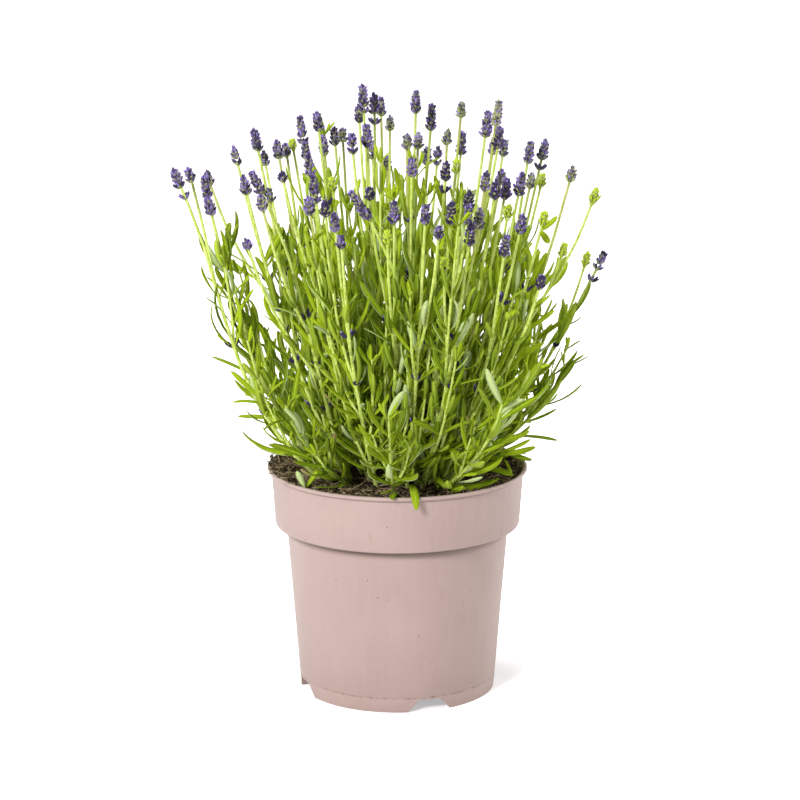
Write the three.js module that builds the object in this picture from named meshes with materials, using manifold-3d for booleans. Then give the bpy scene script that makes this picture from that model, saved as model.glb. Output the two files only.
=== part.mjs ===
// Potted lavender: a nursery pot of dusty-pink plastic, peat soil that fills it, and the plant's shoots.
// Millimetres, +Z up. The origin is the centre of the circle that the pot's foot stands on.
import * as THREE from 'three';
import { mergeVertices } from 'three/addons/utils/BufferGeometryUtils.js';
import Module from 'manifold-3d';

const wasm = await Module();
wasm.setup();

// ---- Driving dimensions ----

const GAP = 0.3; // between pieces that touch
const WALL = 1.4; // the pot's wall

const POT_HEIGHT = 149.5;
const LIP_RADIUS = 85;
const LIP_HEIGHT = 3;
const LIP_WIDTH = 2; // across the lip's top
const COLLAR_TOP_RADIUS = 82.6;
const COLLAR_FOOT_RADIUS = 80.2;
const LEDGE_Z = 111.5; // underside of the ledge between collar and body
const BODY_TOP_RADIUS = 72.9;
const FOOT_RADIUS = 64;
const BASE_Z = 9; // underside of the raised base plate
const ROUNDING = 1.3; // of the collar's lower edge
const POT_FACETS = 48;

const NOTCH_COUNT = 4;
const NOTCH_TURN = 19.3; // degrees from the front towards +X, to the first notch
const NOTCH_FOOT_WIDTH = 28.8;
const NOTCH_TOP_WIDTH = 15.4;
const NOTCH_TOP_Z = 8.2;
const CHEEK_END = 6.7; // the walls beside a notch run in to this far inside the foot's radius
const DRAIN_LENGTH = 15;
const DRAIN_WIDTH = 6;

const SOIL_Z = 145.8; // level of the soil in the middle
const SOIL_TILT = 0.012; // it stands higher towards -X
const SOIL_BACK = 0.014; // and towards +Y
const SOIL_DISH = 0.00025; // and rises towards the wall with the square of the distance from the axis
const SOIL_FACETS = 24;

const STEM_STEPS = 5; // straight steps of a main stem
const BRANCH_STEPS = 3;
const STEM_DEPTH = 12; // how far a shoot goes down into the soil
const STEM_FOOT = 1.25; // half the diagonal of a stem's square section, at the soil
const STEM_NECK = 0.95; // and under a flower spike
const SPIKE_RADIUS = 3.7;
const SPIKE_OUTLINE = [[0.1, 0.75], [0.45, 1], [1, 0.35]]; // share of the length, share of the girth
const LEAF_WIDTH = 5;
const LEAF_THICKNESS = 0.9;
const LEAF_OUTLINE = [[0, 0.35, 1], [0.5, 1, 0.9], [1, 0.06, 0.3]]; // share of length, of width, of thickness
const BASE_SPREAD = 0.3; // a shoot's foot stands at this share of its tip's distance from the axis
const BOW = 0.5; // a stem's lower bend lies at this share of its run outwards
const LEAF_CLEARANCE = 1.2; // between a leaf's blade and the shoots around it

// Flower spikes: x, y, z of the middle, and length. A row is one branching shoot, whose first spike ends its main stem.
// A fifth and a sixth number lean the spike along x and y, as the run over a rise of 1. A seventh is the stem's BOW.
const FLOWER_SHOOTS = [
  [[-136, -72, 351, 13, -0.45, -0.1, 0.8], [-130, -50, 350, 9]],
  [[-120, -50, 342, 14, -0.2, -0.1, 0.75], [-117, -66, 333, 13]],
  [[-106, 45, 347, 12], [-123, 24, 336, 9]],
  [[-95, -60, 345, 12], [-81, -40, 336, 8]],
  [[-87, -75, 349, 15, -0.5, -0.2], [-83, -93, 339, 11], [-93, -82, 312, 7]],
  [[-93, 50, 357, 13], [-88, 66, 342, 10]],
  [[-79, 56, 350, 11], [-74, 74, 346, 9]],
  [[-63, 52, 363, 18], [-60, 36, 352, 11], [-70, 84, 349, 7]],
  [[-55, -60, 358, 13], [-71, -70, 352, 7]],
  [[-51, -80, 346, 18], [-54, -98, 339, 10], [-44, -106, 338, 10]],
  [[-51, 2, 376, 12], [-48, 26, 357, 12]],
  [[-42, 84, 354, 12], [-37, 100, 353, 8]],
  [[-19, -38, 373, 13], [-28, -52, 370, 12], [-41, -48, 344, 8]],
  [[-22, 14, 389, 17], [-15, 27, 384, 13], [-25, 42, 375, 12]],
  [[-17, 112, 341, 11], [-7, 127, 330, 9]],
  [[-11, 84, 374, 12], [-5, 70, 365, 9]],
  [[-38, -117, 332, 11], [-34, -127, 322, 7]],
  [[-23, -105, 340, 21, -0.7, -0.2], [-17, -92, 345, 8]],
  [[-2, -111, 337, 13], [-6, -124, 324, 8]],
  [[12, 8, 388, 13], [22, 28, 375, 16]],
  [[13, -46, 371, 9], [6, -62, 373, 9], [9, -92, 361, 12]],
  [[20, 119, 336, 11], [27, 105, 338, 11]],
  [[30, -73, 356, 12], [37, -57, 357, 8]],
  [[42, 50, 377, 9], [33, 64, 357, 9], [43, 88, 349, 14]],
  [[57, -10, 376, 15], [64, -32, 370, 14]],
  [[65, 28, 378, 15], [63, 48, 353, 10], [71, 80, 347, 10]],
  [[55, -62, 348, 11], [65, -48, 348, 10]],
  [[60, -96, 348, 12], [67, -84, 347, 12]],
  [[96, 46, 351, 12], [86, 30, 352, 13]],
  [[76, -80, 349, 14], [69, -68, 330, 8]],
  [[89, 70, 327, 9], [97, 88, 324, 8]],
  [[113, 20, 339, 10], [129, 34, 323, 9]],
  [[17, -121, 337, 12], [25, -128, 327, 9]],
  [[33, -103, 335, 13], [43, -115, 336, 11]],
  [[44, -90, 341, 11], [50, -103, 331, 13]],
  [[44, -126, 326, 13], [29, -112, 305, 7]],
  [[76, -98, 327, 12], [66, -111, 316, 13]],
  [[91, -70, 326, 8], [104, -60, 304, 8], [89, -86, 289, 8]],
  [[135, 60, 274, 13, 0.5, 0.1], [127, 76, 273, 8]],
];

// Leafy shoots: x, y, z of the top.
const LEAFY_SHOOTS = [
  [-86, -16, 234], [-87, 30, 239], [-88, 8, 206], [-59, -26, 264], [-69, -92, 210], [-34, -74, 257],
  [-24, 62, 257], [-51, 121, 216], [-5, -121, 209], [2, 34, 282], [10, -24, 272], [34, 121, 224],
  [65, -114, 217], [57, 60, 246], [61, -30, 268], [83, -50, 223], [95, 8, 248], [111, 36, 206], [14, -58, 254],
];

// ---- Colours ----

const potPlastic = new THREE.MeshStandardMaterial({ color: 0xcdb3ac, roughness: 0.45, metalness: 0 });
const peat = new THREE.MeshStandardMaterial({ color: 0x33271c, roughness: 0.95, metalness: 0 });
const flowerShoot = new THREE.MeshStandardMaterial({ color: 0x8fae3e, roughness: 0.6, metalness: 0 });
const leafyShoot = new THREE.MeshStandardMaterial({ color: 0x6f9a35, roughness: 0.65, metalness: 0 });

// ---- Shapes ----

// A closed body for joining and cutting.
function solid(geometry) {
  const bare = geometry.clone();
  bare.deleteAttribute('normal');
  bare.deleteAttribute('uv');
  const merged = mergeVertices(bare, 1e-4);
  return new wasm.Manifold(new wasm.Mesh({
    numProp: 3,
    vertProperties: new Float32Array(merged.attributes.position.array),
    triVerts: new Uint32Array(merged.index.array),
  }));
}

function mesh(name, body, material) {
  const { vertProperties, triVerts } = body.getMesh();
  const geometry = new THREE.BufferGeometry();
  geometry.setAttribute('position', new THREE.BufferAttribute(vertProperties, 3));
  geometry.setIndex(new THREE.BufferAttribute(triVerts, 1));
  geometry.computeVertexNormals();
  const made = new THREE.Mesh(geometry, material);
  made.name = name;
  return made;
}

// A four-sided bar through a row of stations, each with its point, the bar's way there, and its half width and half
// thickness. across is the direction of the width.
function bar(stations, across) {
  const steps = stations.length - 1;
  const geometry = new THREE.CylinderGeometry(1, 1, 1, 4, steps);
  const at = geometry.attributes.position;
  for (let i = 0; i < at.count; i += 1) {
    const { point, way, half } = stations[Math.round((at.getY(i) + 0.5) * steps)];
    const width = across.clone().addScaledVector(way, -across.dot(way)).normalize();
    const thickness = width.clone().cross(way);
    const corner = point.clone()
      .addScaledVector(width, at.getX(i) * half[0])
      .addScaledVector(thickness, at.getZ(i) * half[1]);
    at.setXYZ(i, corner.x, corner.y, corner.z);
  }
  return solid(geometry);
}

// Stations at these shares of a curve, where half(share) gives the half width and half thickness.
function along(curve, shares, half) {
  return shares.map((share) => ({ point: curve.getPoint(share), way: curve.getTangent(share), half: half(share) }));
}

const evenly = (steps) => Array.from({ length: steps + 1 }, (_, i) => i / steps);

// A square section that narrows from one half diagonal to the next.
const square = (first, last = first) => (share) => [first + (last - first) * share, first + (last - first) * share];

// ---- Pot ----

const bodyRadius = (z) => FOOT_RADIUS + (BODY_TOP_RADIUS - FOOT_RADIUS) * z / LEDGE_Z;

function makePot() {
  const lipZ = POT_HEIGHT - LIP_HEIGHT;
  const floorZ = BASE_Z + WALL;
  const profile = [
    [0, BASE_Z],
    [bodyRadius(BASE_Z) - WALL, BASE_Z],
    [FOOT_RADIUS - WALL, 0],
    [FOOT_RADIUS, 0],
    [BODY_TOP_RADIUS, LEDGE_Z],
    [COLLAR_FOOT_RADIUS - ROUNDING, LEDGE_Z],
    [COLLAR_FOOT_RADIUS, LEDGE_Z + ROUNDING],
    [COLLAR_TOP_RADIUS, lipZ],
    [LIP_RADIUS, lipZ + 0.9],
    [LIP_RADIUS, POT_HEIGHT - 0.8],
    [LIP_RADIUS - 0.8, POT_HEIGHT],
    [LIP_RADIUS - LIP_WIDTH, POT_HEIGHT - 0.4],
    [COLLAR_TOP_RADIUS - WALL, lipZ],
    [COLLAR_FOOT_RADIUS - WALL, LEDGE_Z + WALL],
    [bodyRadius(LEDGE_Z) - WALL, LEDGE_Z + WALL],
    [bodyRadius(floorZ) - WALL, floorZ],
    [0, floorZ],
  ].map(([radius, z]) => new THREE.Vector2(radius, z));
  let pot = solid(new THREE.LatheGeometry(profile, POT_FACETS).rotateX(Math.PI / 2));
  for (let i = 0; i < NOTCH_COUNT; i += 1) {
    const turn = THREE.MathUtils.degToRad(NOTCH_TURN + i * 360 / NOTCH_COUNT);
    const cheeks = notchBlock(turn, [0, BASE_Z + WALL / 2], WALL, [0, CHEEK_END]).intersect(insideOfFoot());
    const opening = notchBlock(turn, [-1, NOTCH_TOP_Z], 0, [-3, CHEEK_END + 4]);
    pot = pot.add(cheeks).subtract(opening).subtract(makeDrain(turn));
  }
  return pot;
}

// A block as wide as a drain notch, which is wider at the foot, and a margin on each side. It reaches from one depth
// inside the foot's radius to another. It is made facing -Y and then turned about the axis.
function notchBlock(turn, [bottom, top], margin, [front, back]) {
  const half = (z) => margin + THREE.MathUtils.lerp(NOTCH_FOOT_WIDTH, NOTCH_TOP_WIDTH, z / NOTCH_TOP_Z) / 2;
  const outline = new THREE.Shape([
    new THREE.Vector2(-half(bottom), bottom),
    new THREE.Vector2(half(bottom), bottom),
    new THREE.Vector2(half(top), top),
    new THREE.Vector2(-half(top), top),
  ]);
  const block = new THREE.ExtrudeGeometry(outline, { depth: back - front, bevelEnabled: false });
  return solid(block.rotateX(Math.PI / 2).translate(0, back - FOOT_RADIUS, 0).rotateZ(turn));
}

// All that lies within the middle of the wall, from the foot to the middle of the base plate.
function insideOfFoot() {
  const top = BASE_Z + WALL / 2;
  const profile = [[0, 0], [FOOT_RADIUS - WALL / 2, 0], [bodyRadius(top) - WALL / 2, top], [0, top]];
  const points = profile.map(([radius, z]) => new THREE.Vector2(radius, z));
  return solid(new THREE.LatheGeometry(points, POT_FACETS).rotateX(Math.PI / 2));
}

// A drain slot through the base plate, behind the notch.
function makeDrain(turn) {
  const half = (DRAIN_LENGTH - DRAIN_WIDTH) / 2;
  const radius = DRAIN_WIDTH / 2;
  const outline = new THREE.Shape();
  outline.absarc(half, 0, radius, -Math.PI / 2, Math.PI / 2, false);
  outline.absarc(-half, 0, radius, Math.PI / 2, Math.PI * 1.5, false);
  const cutter = new THREE.ExtrudeGeometry(outline, { depth: 4, bevelEnabled: false, curveSegments: 5 });
  cutter.translate(0, -FOOT_RADIUS + 8, BASE_Z - 1).rotateZ(turn);
  return solid(cutter);
}

// ---- Shoots ----

function soilLevel(x, y) {
  const lumps = 0.8 * Math.sin(x / 11 + 1) * Math.cos(y / 13);
  return SOIL_Z - SOIL_TILT * x + SOIL_BACK * y + lumps + SOIL_DISH * (x * x + y * y);
}

const groundUnder = ({ x, y }) => (Math.hypot(x, y) < COLLAR_FOOT_RADIUS ? soilLevel(x, y) : POT_HEIGHT);

// The line of a stem. It leaves the soil leaning outwards, rises, and ends along lean.
function stemCurve(foot, top, lean, bow = BOW) {
  const rise = top.z - foot.z;
  const run = top.clone().sub(foot).setZ(0);
  const first = foot.clone().addScaledVector(run, bow).setZ(foot.z + 0.34 * rise);
  const last = top.clone().addScaledVector(lean, -0.3 * rise);
  return new THREE.CubicBezierCurve3(foot, first, last, top);
}

// Where a shoot whose top is over (x, y) comes out of the root ball, STEM_DEPTH under the soil's surface.
function footUnder(x, y) {
  const foot = new THREE.Vector3(x * BASE_SPREAD, y * BASE_SPREAD, 0);
  return foot.setZ(soilLevel(foot.x, foot.y) - STEM_DEPTH);
}

const outward = (x, y) => new THREE.Vector3(x, y, 0).multiplyScalar(0.0022).setZ(1);

// A stem of a shoot, from start to the foot of its spike, and the spike's own line and girth.
function flowerStem([x, y, z, length, leanX, leanY, bow], start) {
  const lean = leanX === undefined ? outward(x, y) : new THREE.Vector3(leanX, leanY, 1);
  const half = lean.clone().setLength(length / 2);
  const middle = new THREE.Vector3(x, y, z);
  const neck = middle.clone().sub(half);
  return {
    curve: stemCurve(start, neck, lean, bow),
    spike: new THREE.LineCurve3(neck, middle.clone().add(half)),
    girth: SPIKE_RADIUS * Math.min(1, 0.6 + length / 30),
  };
}

function stemBody({ curve, spike, girth }, steps, foot) {
  const stations = along(curve, evenly(steps), square(foot, STEM_NECK));
  if (spike) stations.push(...SPIKE_OUTLINE.flatMap(([share, radius]) => along(spike, [share], square(girth * radius))));
  return bar(stations, new THREE.Vector3(1, 0, 0));
}

// A leaf's line: it leaves the stem upwards and outwards along side, and bends back over its length.
function leafCurve(node, side, length, rise) {
  const middle = node.clone().addScaledVector(side, 0.42 * length).add(new THREE.Vector3(0, 0, 0.42 * rise * length));
  const tip = node.clone().addScaledVector(side, 0.92 * length).add(new THREE.Vector3(0, 0, 0.52 * rise * length));
  return new THREE.QuadraticBezierCurve3(node, middle, tip);
}

function leafBody(curve, side) {
  const stations = LEAF_OUTLINE.flatMap(([share, width, thickness]) => (
    along(curve, [share], () => [width * LEAF_WIDTH / 2, thickness * LEAF_THICKNESS / 2])));
  return bar(stations, new THREE.Vector3(-side.y, side.x, 0));
}

// Round bars that stand for every stem, spike and leaf placed so far, so that a leaf grows only where it has room.
const taken = [];

function claim(owner, curve, radius, parts) {
  for (let i = 0; i < parts; i += 1) {
    const line = new THREE.Line3(curve.getPoint(i / parts), curve.getPoint((i + 1) / parts));
    taken.push({ owner, line, radius });
  }
}

function hasRoom(owner, curve) {
  const nearest = new THREE.Vector3();
  for (let i = 0; i <= 8; i += 1) {
    const point = curve.getPoint(i / 8);
    if (point.z < groundUnder(point) + LEAF_WIDTH / 2) return false;
    for (const other of taken) {
      other.line.closestPointToPoint(point, true, nearest);
      if (other.owner !== owner && nearest.distanceTo(point) < other.radius + LEAF_WIDTH / 2 + LEAF_CLEARANCE) {
        return false;
      }
    }
  }
  return true;
}

// Two leaves face to face at a node, a quarter turn on from the pair below. The rise is a leaf's own slope.
function leafPair(owner, curve, share, turn, length, rise) {
  const leaves = [];
  for (const angle of [turn, turn + Math.PI]) {
    const side = new THREE.Vector3(Math.cos(angle), Math.sin(angle), 0);
    const line = leafCurve(curve.getPoint(share), side, length, rise);
    if (hasRoom(owner, line)) {
      claim(owner, line, LEAF_WIDTH / 2, 4);
      leaves.push(leafBody(line, side));
    }
  }
  return leaves;
}

function makeFlowerShoot(number) {
  const name = `flower_shoot_${String(number + 1).padStart(2, '0')}`;
  const [main, ...side] = FLOWER_SHOOTS[number];
  const stems = [flowerStem(main, footUnder(main[0], main[1]))];
  side.forEach((spike, i) => stems.push(flowerStem(spike, stems[0].curve.getPoint(0.52 - 0.14 * i))));
  for (const { curve, spike, girth } of stems) {
    claim(name, curve, STEM_FOOT, 6);
    claim(name, spike, girth, 1);
  }
  return { name, stems, turn: 0, material: flowerShoot, pairs: [] };
}

function makeLeafyShoot(number) {
  const name = `leafy_shoot_${String(number + 1).padStart(2, '0')}`;
  const [x, y, z] = LEAFY_SHOOTS[number];
  const curve = stemCurve(footUnder(x, y), new THREE.Vector3(x, y, z), outward(x, y));
  claim(name, curve, STEM_FOOT, 6);
  const pairs = [[0.45, 32, 1.1], [0.7, 30, 1.4], [0.97, 26, 2.2]];
  return { name, stems: [{ curve }], turn: number * 2.4 + 1, material: leafyShoot, pairs };
}

function shootBody({ name, stems, turn, pairs }) {
  let body = stemBody(stems[0], STEM_STEPS, STEM_FOOT);
  for (const stem of stems.slice(1)) body = body.add(stemBody(stem, BRANCH_STEPS, STEM_NECK));
  pairs.forEach(([share, length, rise], i) => {
    const leaves = leafPair(name, stems[0].curve, share, turn + i * Math.PI / 2, length, rise);
    for (const leaf of leaves) body = body.add(leaf);
  });
  return body;
}

// ---- Soil ----

// The hole that a stem's first step leaves in the soil, with room all round and under it.
function socketBody(curve) {
  const [foot, top] = along(curve, [0, 1 / STEM_STEPS], square(STEM_FOOT + GAP * Math.SQRT2));
  foot.point.addScaledVector(foot.way, -GAP);
  return bar([foot, top], new THREE.Vector3(1, 0, 0));
}

// The root ball: it fills the pot, and its top follows soilLevel. Each shoot stands in a socket of its own.
function makeSoil(shoots) {
  const floorZ = BASE_Z + WALL + GAP;
  const ledgeZ = LEDGE_Z + WALL + GAP;
  const inset = WALL + GAP;
  const edge = COLLAR_TOP_RADIUS - inset - 0.9;
  const rings = [edge, 58, 32, 0];
  const profile = [
    [0, floorZ],
    [bodyRadius(floorZ) - inset, floorZ],
    [bodyRadius(LEDGE_Z) - inset, ledgeZ],
    [COLLAR_FOOT_RADIUS - inset, ledgeZ],
    ...rings.map((radius) => [radius, SOIL_Z]),
  ].map(([radius, z]) => new THREE.Vector2(radius, z));
  const geometry = new THREE.LatheGeometry(profile, SOIL_FACETS).rotateX(Math.PI / 2);
  const at = geometry.attributes.position;
  for (let i = 0; i < at.count; i += 1) {
    if (Math.abs(at.getZ(i) - SOIL_Z) < 1e-3) at.setZ(i, soilLevel(at.getX(i), at.getY(i)));
  }
  let soil = solid(geometry);
  for (const { stems } of shoots) soil = soil.subtract(socketBody(stems[0].curve));
  return soil;
}

// ---- Assembly ----

const lavender = new THREE.Group();
lavender.name = 'potted_lavender';
const shoots = [
  ...FLOWER_SHOOTS.map((_, number) => makeFlowerShoot(number)),
  ...LEAFY_SHOOTS.map((_, number) => makeLeafyShoot(number)),
];
lavender.add(mesh('pot', makePot(), potPlastic));
lavender.add(mesh('potting_soil', makeSoil(shoots), peat));
for (const shoot of shoots) lavender.add(mesh(shoot.name, shootBody(shoot), shoot.material));

export default lavender;
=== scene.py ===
"""Potted lavender: a dusty-pink nursery pot, peat, and a bush of flowering and leafy shoots.

Metres, +Z up, the pot's foot on the floor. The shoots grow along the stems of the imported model.
"""
import math
import random

import bmesh
import bpy
from mathutils import Matrix, Quaternion, Vector, noise


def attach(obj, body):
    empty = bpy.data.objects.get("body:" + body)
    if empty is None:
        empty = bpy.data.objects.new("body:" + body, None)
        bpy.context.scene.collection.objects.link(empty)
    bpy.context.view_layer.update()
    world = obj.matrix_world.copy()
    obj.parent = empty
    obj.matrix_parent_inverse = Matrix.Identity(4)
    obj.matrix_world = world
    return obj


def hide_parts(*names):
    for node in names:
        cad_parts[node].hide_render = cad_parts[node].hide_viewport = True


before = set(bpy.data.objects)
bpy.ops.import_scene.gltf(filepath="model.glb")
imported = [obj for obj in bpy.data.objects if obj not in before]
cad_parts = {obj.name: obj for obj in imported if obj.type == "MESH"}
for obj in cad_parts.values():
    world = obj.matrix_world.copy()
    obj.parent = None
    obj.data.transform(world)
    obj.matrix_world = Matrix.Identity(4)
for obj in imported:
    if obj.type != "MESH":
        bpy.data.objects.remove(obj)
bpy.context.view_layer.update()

MM = 0.001
UP = Vector((0, 0, 1))
TO_LIGHT = Vector((-0.15, -0.75, 0.65))
LIGHT_PULL = 0.6
chance = random.Random(7)

# ---- Driving sizes, in millimetres ----

POT_HEIGHT = 149.5
LIP_RADIUS = 85
LIP_HEIGHT = 2.6
LIP_WIDTH = 2.0
COLLAR_TOP_RADIUS = 82.6
COLLAR_FOOT_RADIUS = 80.2
LEDGE_Z = 111.5
BODY_TOP_RADIUS = 72.9
FOOT_RADIUS = 64
BASE_Z = 9
WALL = 1.4
SEAM_Z = 9.6

NOTCH_TURN = 19.3
NOTCH_FOOT_WIDTH = 28.8
NOTCH_TOP_WIDTH = 15.4
NOTCH_TOP_Z = 8.2
CHEEK_END = 6.7
DRAIN_LENGTH = 15
DRAIN_WIDTH = 6

SOIL_Z = 145.8
SOIL_RADIUS = 80.4

STEM_AT_SOIL = 1.55
STEM_AT_FLOWER = 0.92
TWIG = 1.1
SIDE_SHOOTS = 4
LEAF_HALF_THICKNESS = 1.7
YOUNG_LEAF_WIDTH = 2.5
YOUNG_LEAF_SHAPE = 0.18  # width over length

RIM_ROOM = 1.4  # between leaves and the rim's top
LIP_ROOM = 1.5  # and outside the lip
PEAT_ROOM = 1.6
DROOP = 0.3  # how steeply a leaf may hang outside the lip

# Beyond these X a side shoot grows back inwards, and a stem whose tip is further out has short ones.
FAR_LEFT, FAR_RIGHT = -40, 62
OUTER_TIP = 70
LEAST_SIDE_SHOOT = 24
BARE_TOP = 50

CRUMBS, FIBRES, UPRIGHT_FIBRES = 1500, 700, 26
POT_STEPS, SOIL_STEPS, SOIL_RINGS = 160, 220, 52


def soil_level(x, y):
    """Height of the peat over a place, all in millimetres. It stands a little higher at -X, at +Y and by the
    wall."""
    return (SOIL_Z - 0.012 * x + 0.014 * y + 0.8 * math.sin(x / 11 + 1) * math.cos(y / 13)
            + 0.00025 * (x * x + y * y))


def mix(a, b, share):
    return a + (b - a) * share


# ---- Material kit ----

def add(tree, kind, inputs=(), **settings):
    """A node with its settings, and its sockets set or joined."""
    made = tree.nodes.new(kind)
    for key, value in settings.items():
        setattr(made, key, value)
    for key, value in dict(inputs).items():
        if isinstance(value, bpy.types.NodeSocket):
            tree.links.new(value, made.inputs[key])
        else:
            made.inputs[key].default_value = value
    return made


def colour(red, green, blue):
    return (red, green, blue, 1.0)


def maths(tree, operation, a, b=0.0, clamp=False):
    return add(tree, "ShaderNodeMath", {0: a, 1: b}, operation=operation, use_clamp=clamp).outputs[0]


def times(tree, a, b, clamp=False):
    return maths(tree, "MULTIPLY", a, b, clamp)


def off_level(tree, value, level):
    """How far a value lies from a level."""
    return maths(tree, "ABSOLUTE", maths(tree, "SUBTRACT", value, level))


def blend(tree, share, a, b, how="MIX"):
    """Two colours mixed by a share."""
    node = add(tree, "ShaderNodeMix", {"Factor": share}, data_type="RGBA", blend_type=how)
    for socket, value in zip([s for s in node.inputs if s.type == "RGBA"], (a, b)):
        if isinstance(value, bpy.types.NodeSocket):
            tree.links.new(value, socket)
        else:
            socket.default_value = value
    return next(s for s in node.outputs if s.type == "RGBA")


def spread(tree, value, low, high, to_low=0.0, to_high=1.0):
    """A value stretched from one range to another, and kept inside it."""
    return add(tree, "ShaderNodeMapRange", {"Value": value, "From Min": low, "From Max": high,
                                            "To Min": to_low, "To Max": to_high}).outputs[0]


def new_group(name, takes, gives):
    """An empty node group with its named sockets."""
    group = bpy.data.node_groups.new(name, "ShaderNodeTree")
    for label, kind, value in takes:
        socket = group.interface.new_socket(label, in_out="INPUT", socket_type=kind)
        if value is not None:
            socket.default_value = value
    for label, kind in gives:
        group.interface.new_socket(label, in_out="OUTPUT", socket_type=kind)
    return group, add(group, "NodeGroupInput").outputs, add(group, "NodeGroupOutput").inputs


def place(tree, group, **inputs):
    """A node group placed in a material with its own values."""
    return add(tree, "ShaderNodeGroup", inputs, node_tree=group).outputs


FLOAT, VECTOR, COLOUR = "NodeSocketFloat", "NodeSocketVector", "NodeSocketColor"


def make_streaks():
    """Thin uneven lines that run up a surface."""
    group, takes, gives = new_group("streaks", [
        ("Place", VECTOR, None), ("Scale", FLOAT, 400.0), ("Stretch", FLOAT, 0.06)], [("Streaks", FLOAT)])
    squeeze = add(group, "ShaderNodeCombineXYZ", {"X": 1.0, "Y": 1.0, "Z": takes["Stretch"]})
    along = add(group, "ShaderNodeVectorMath", {0: takes["Place"], 1: squeeze.outputs[0]},
                operation="MULTIPLY")
    lines = add(group, "ShaderNodeTexNoise", {"Vector": along.outputs[0], "Scale": takes["Scale"],
                                              "Detail": 3.0, "Roughness": 0.6})
    group.links.new(spread(group, lines.outputs[0], 0.3, 0.7), gives["Streaks"])
    return group


def make_blotches():
    """Broad soft changes of tone, as a colour between two."""
    group, takes, gives = new_group("blotches", [
        ("Place", VECTOR, None), ("Scale", FLOAT, 20.0), ("Low", COLOUR, None), ("High", COLOUR, None)],
        [("Colour", COLOUR), ("Share", FLOAT)])
    clouds = add(group, "ShaderNodeTexNoise", {"Vector": takes["Place"], "Scale": takes["Scale"],
                                               "Detail": 4.0, "Roughness": 0.55})
    share = spread(group, clouds.outputs[0], 0.32, 0.68)
    group.links.new(blend(group, share, takes["Low"], takes["High"]), gives["Colour"])
    group.links.new(share, gives["Share"])
    return group


def make_specks():
    """Small scattered dots, as a mask. Size is a dot's share of its own patch."""
    group, takes, gives = new_group("specks", [
        ("Place", VECTOR, None), ("Scale", FLOAT, 200.0), ("Size", FLOAT, 0.15), ("Amount", FLOAT, 0.3)],
        [("Mask", FLOAT)])
    cells = add(group, "ShaderNodeTexVoronoi", {"Vector": takes["Place"], "Scale": takes["Scale"],
                                                "Randomness": 1.0})
    near = maths(group, "LESS_THAN", cells.outputs["Distance"], takes["Size"])
    pick = add(group, "ShaderNodeSeparateColor", {"Color": cells.outputs["Color"]})
    few = maths(group, "LESS_THAN", pick.outputs[0], takes["Amount"])
    group.links.new(times(group, near, few), gives["Mask"])
    return group


def make_grain():
    """The fine unevenness of a surface, as a height from 0 to 1."""
    group, takes, gives = new_group("fine_grain", [
        ("Place", VECTOR, None), ("Scale", FLOAT, 900.0), ("Coarse", FLOAT, 0.35)], [("Height", FLOAT)])
    fine = add(group, "ShaderNodeTexNoise", {
        "Vector": takes["Place"], "Scale": takes["Scale"], "Detail": 3.0})
    wide = add(group, "ShaderNodeTexNoise", {
        "Vector": takes["Place"], "Scale": times(group, takes["Scale"], 0.13), "Detail": 2.0})
    both = add(group, "ShaderNodeMix", {
        "Factor": takes["Coarse"], "A": fine.outputs[0], "B": wide.outputs[0]})
    group.links.new(both.outputs[0], gives["Height"])
    return group


streaks, blotches, specks, fine_grain = make_streaks(), make_blotches(), make_specks(), make_grain()


def new_material(name, roughness=0.5, **constants):
    """A material with its shader, and the sockets that its nodes feed."""
    material = bpy.data.materials.new(name)
    material.use_nodes = True
    tree = material.node_tree
    shader = next(n for n in tree.nodes if n.type == "BSDF_PRINCIPLED")
    shader.inputs["Roughness"].default_value = roughness
    for key, value in constants.items():
        shader.inputs[key.replace("_", " ")].default_value = value
    place_on_piece = add(tree, "ShaderNodeTexCoord").outputs["Object"]
    return material, tree, shader, place_on_piece


def relief(tree, shader, height, distance, strength=1.0):
    bump = add(tree, "ShaderNodeBump", {"Height": height, "Distance": distance, "Strength": strength})
    tree.links.new(bump.outputs[0], shader.inputs["Normal"])


def broad_share(tree, at, scale):
    """Broad soft changes, as a share."""
    return place(tree, blotches, Place=at, Scale=scale)["Share"]


def surface(tree, shader, at, base, scale, coarse, rough):
    """Joins a finished colour, and a fine grain that varies the roughness. Gives the grain back."""
    tree.links.new(base, shader.inputs["Base Color"])
    grain = place(tree, fine_grain, Place=at, Scale=scale, Coarse=coarse)["Height"]
    tree.links.new(spread(tree, grain, *rough), shader.inputs["Roughness"])
    return grain


def parts_of(tree, name):
    """The three numbers of a piece's own attribute."""
    read = add(tree, "ShaderNodeAttribute", attribute_name=name)
    return add(tree, "ShaderNodeSeparateXYZ", {0: read.outputs["Vector"]}).outputs


# ---- Materials ----

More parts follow.
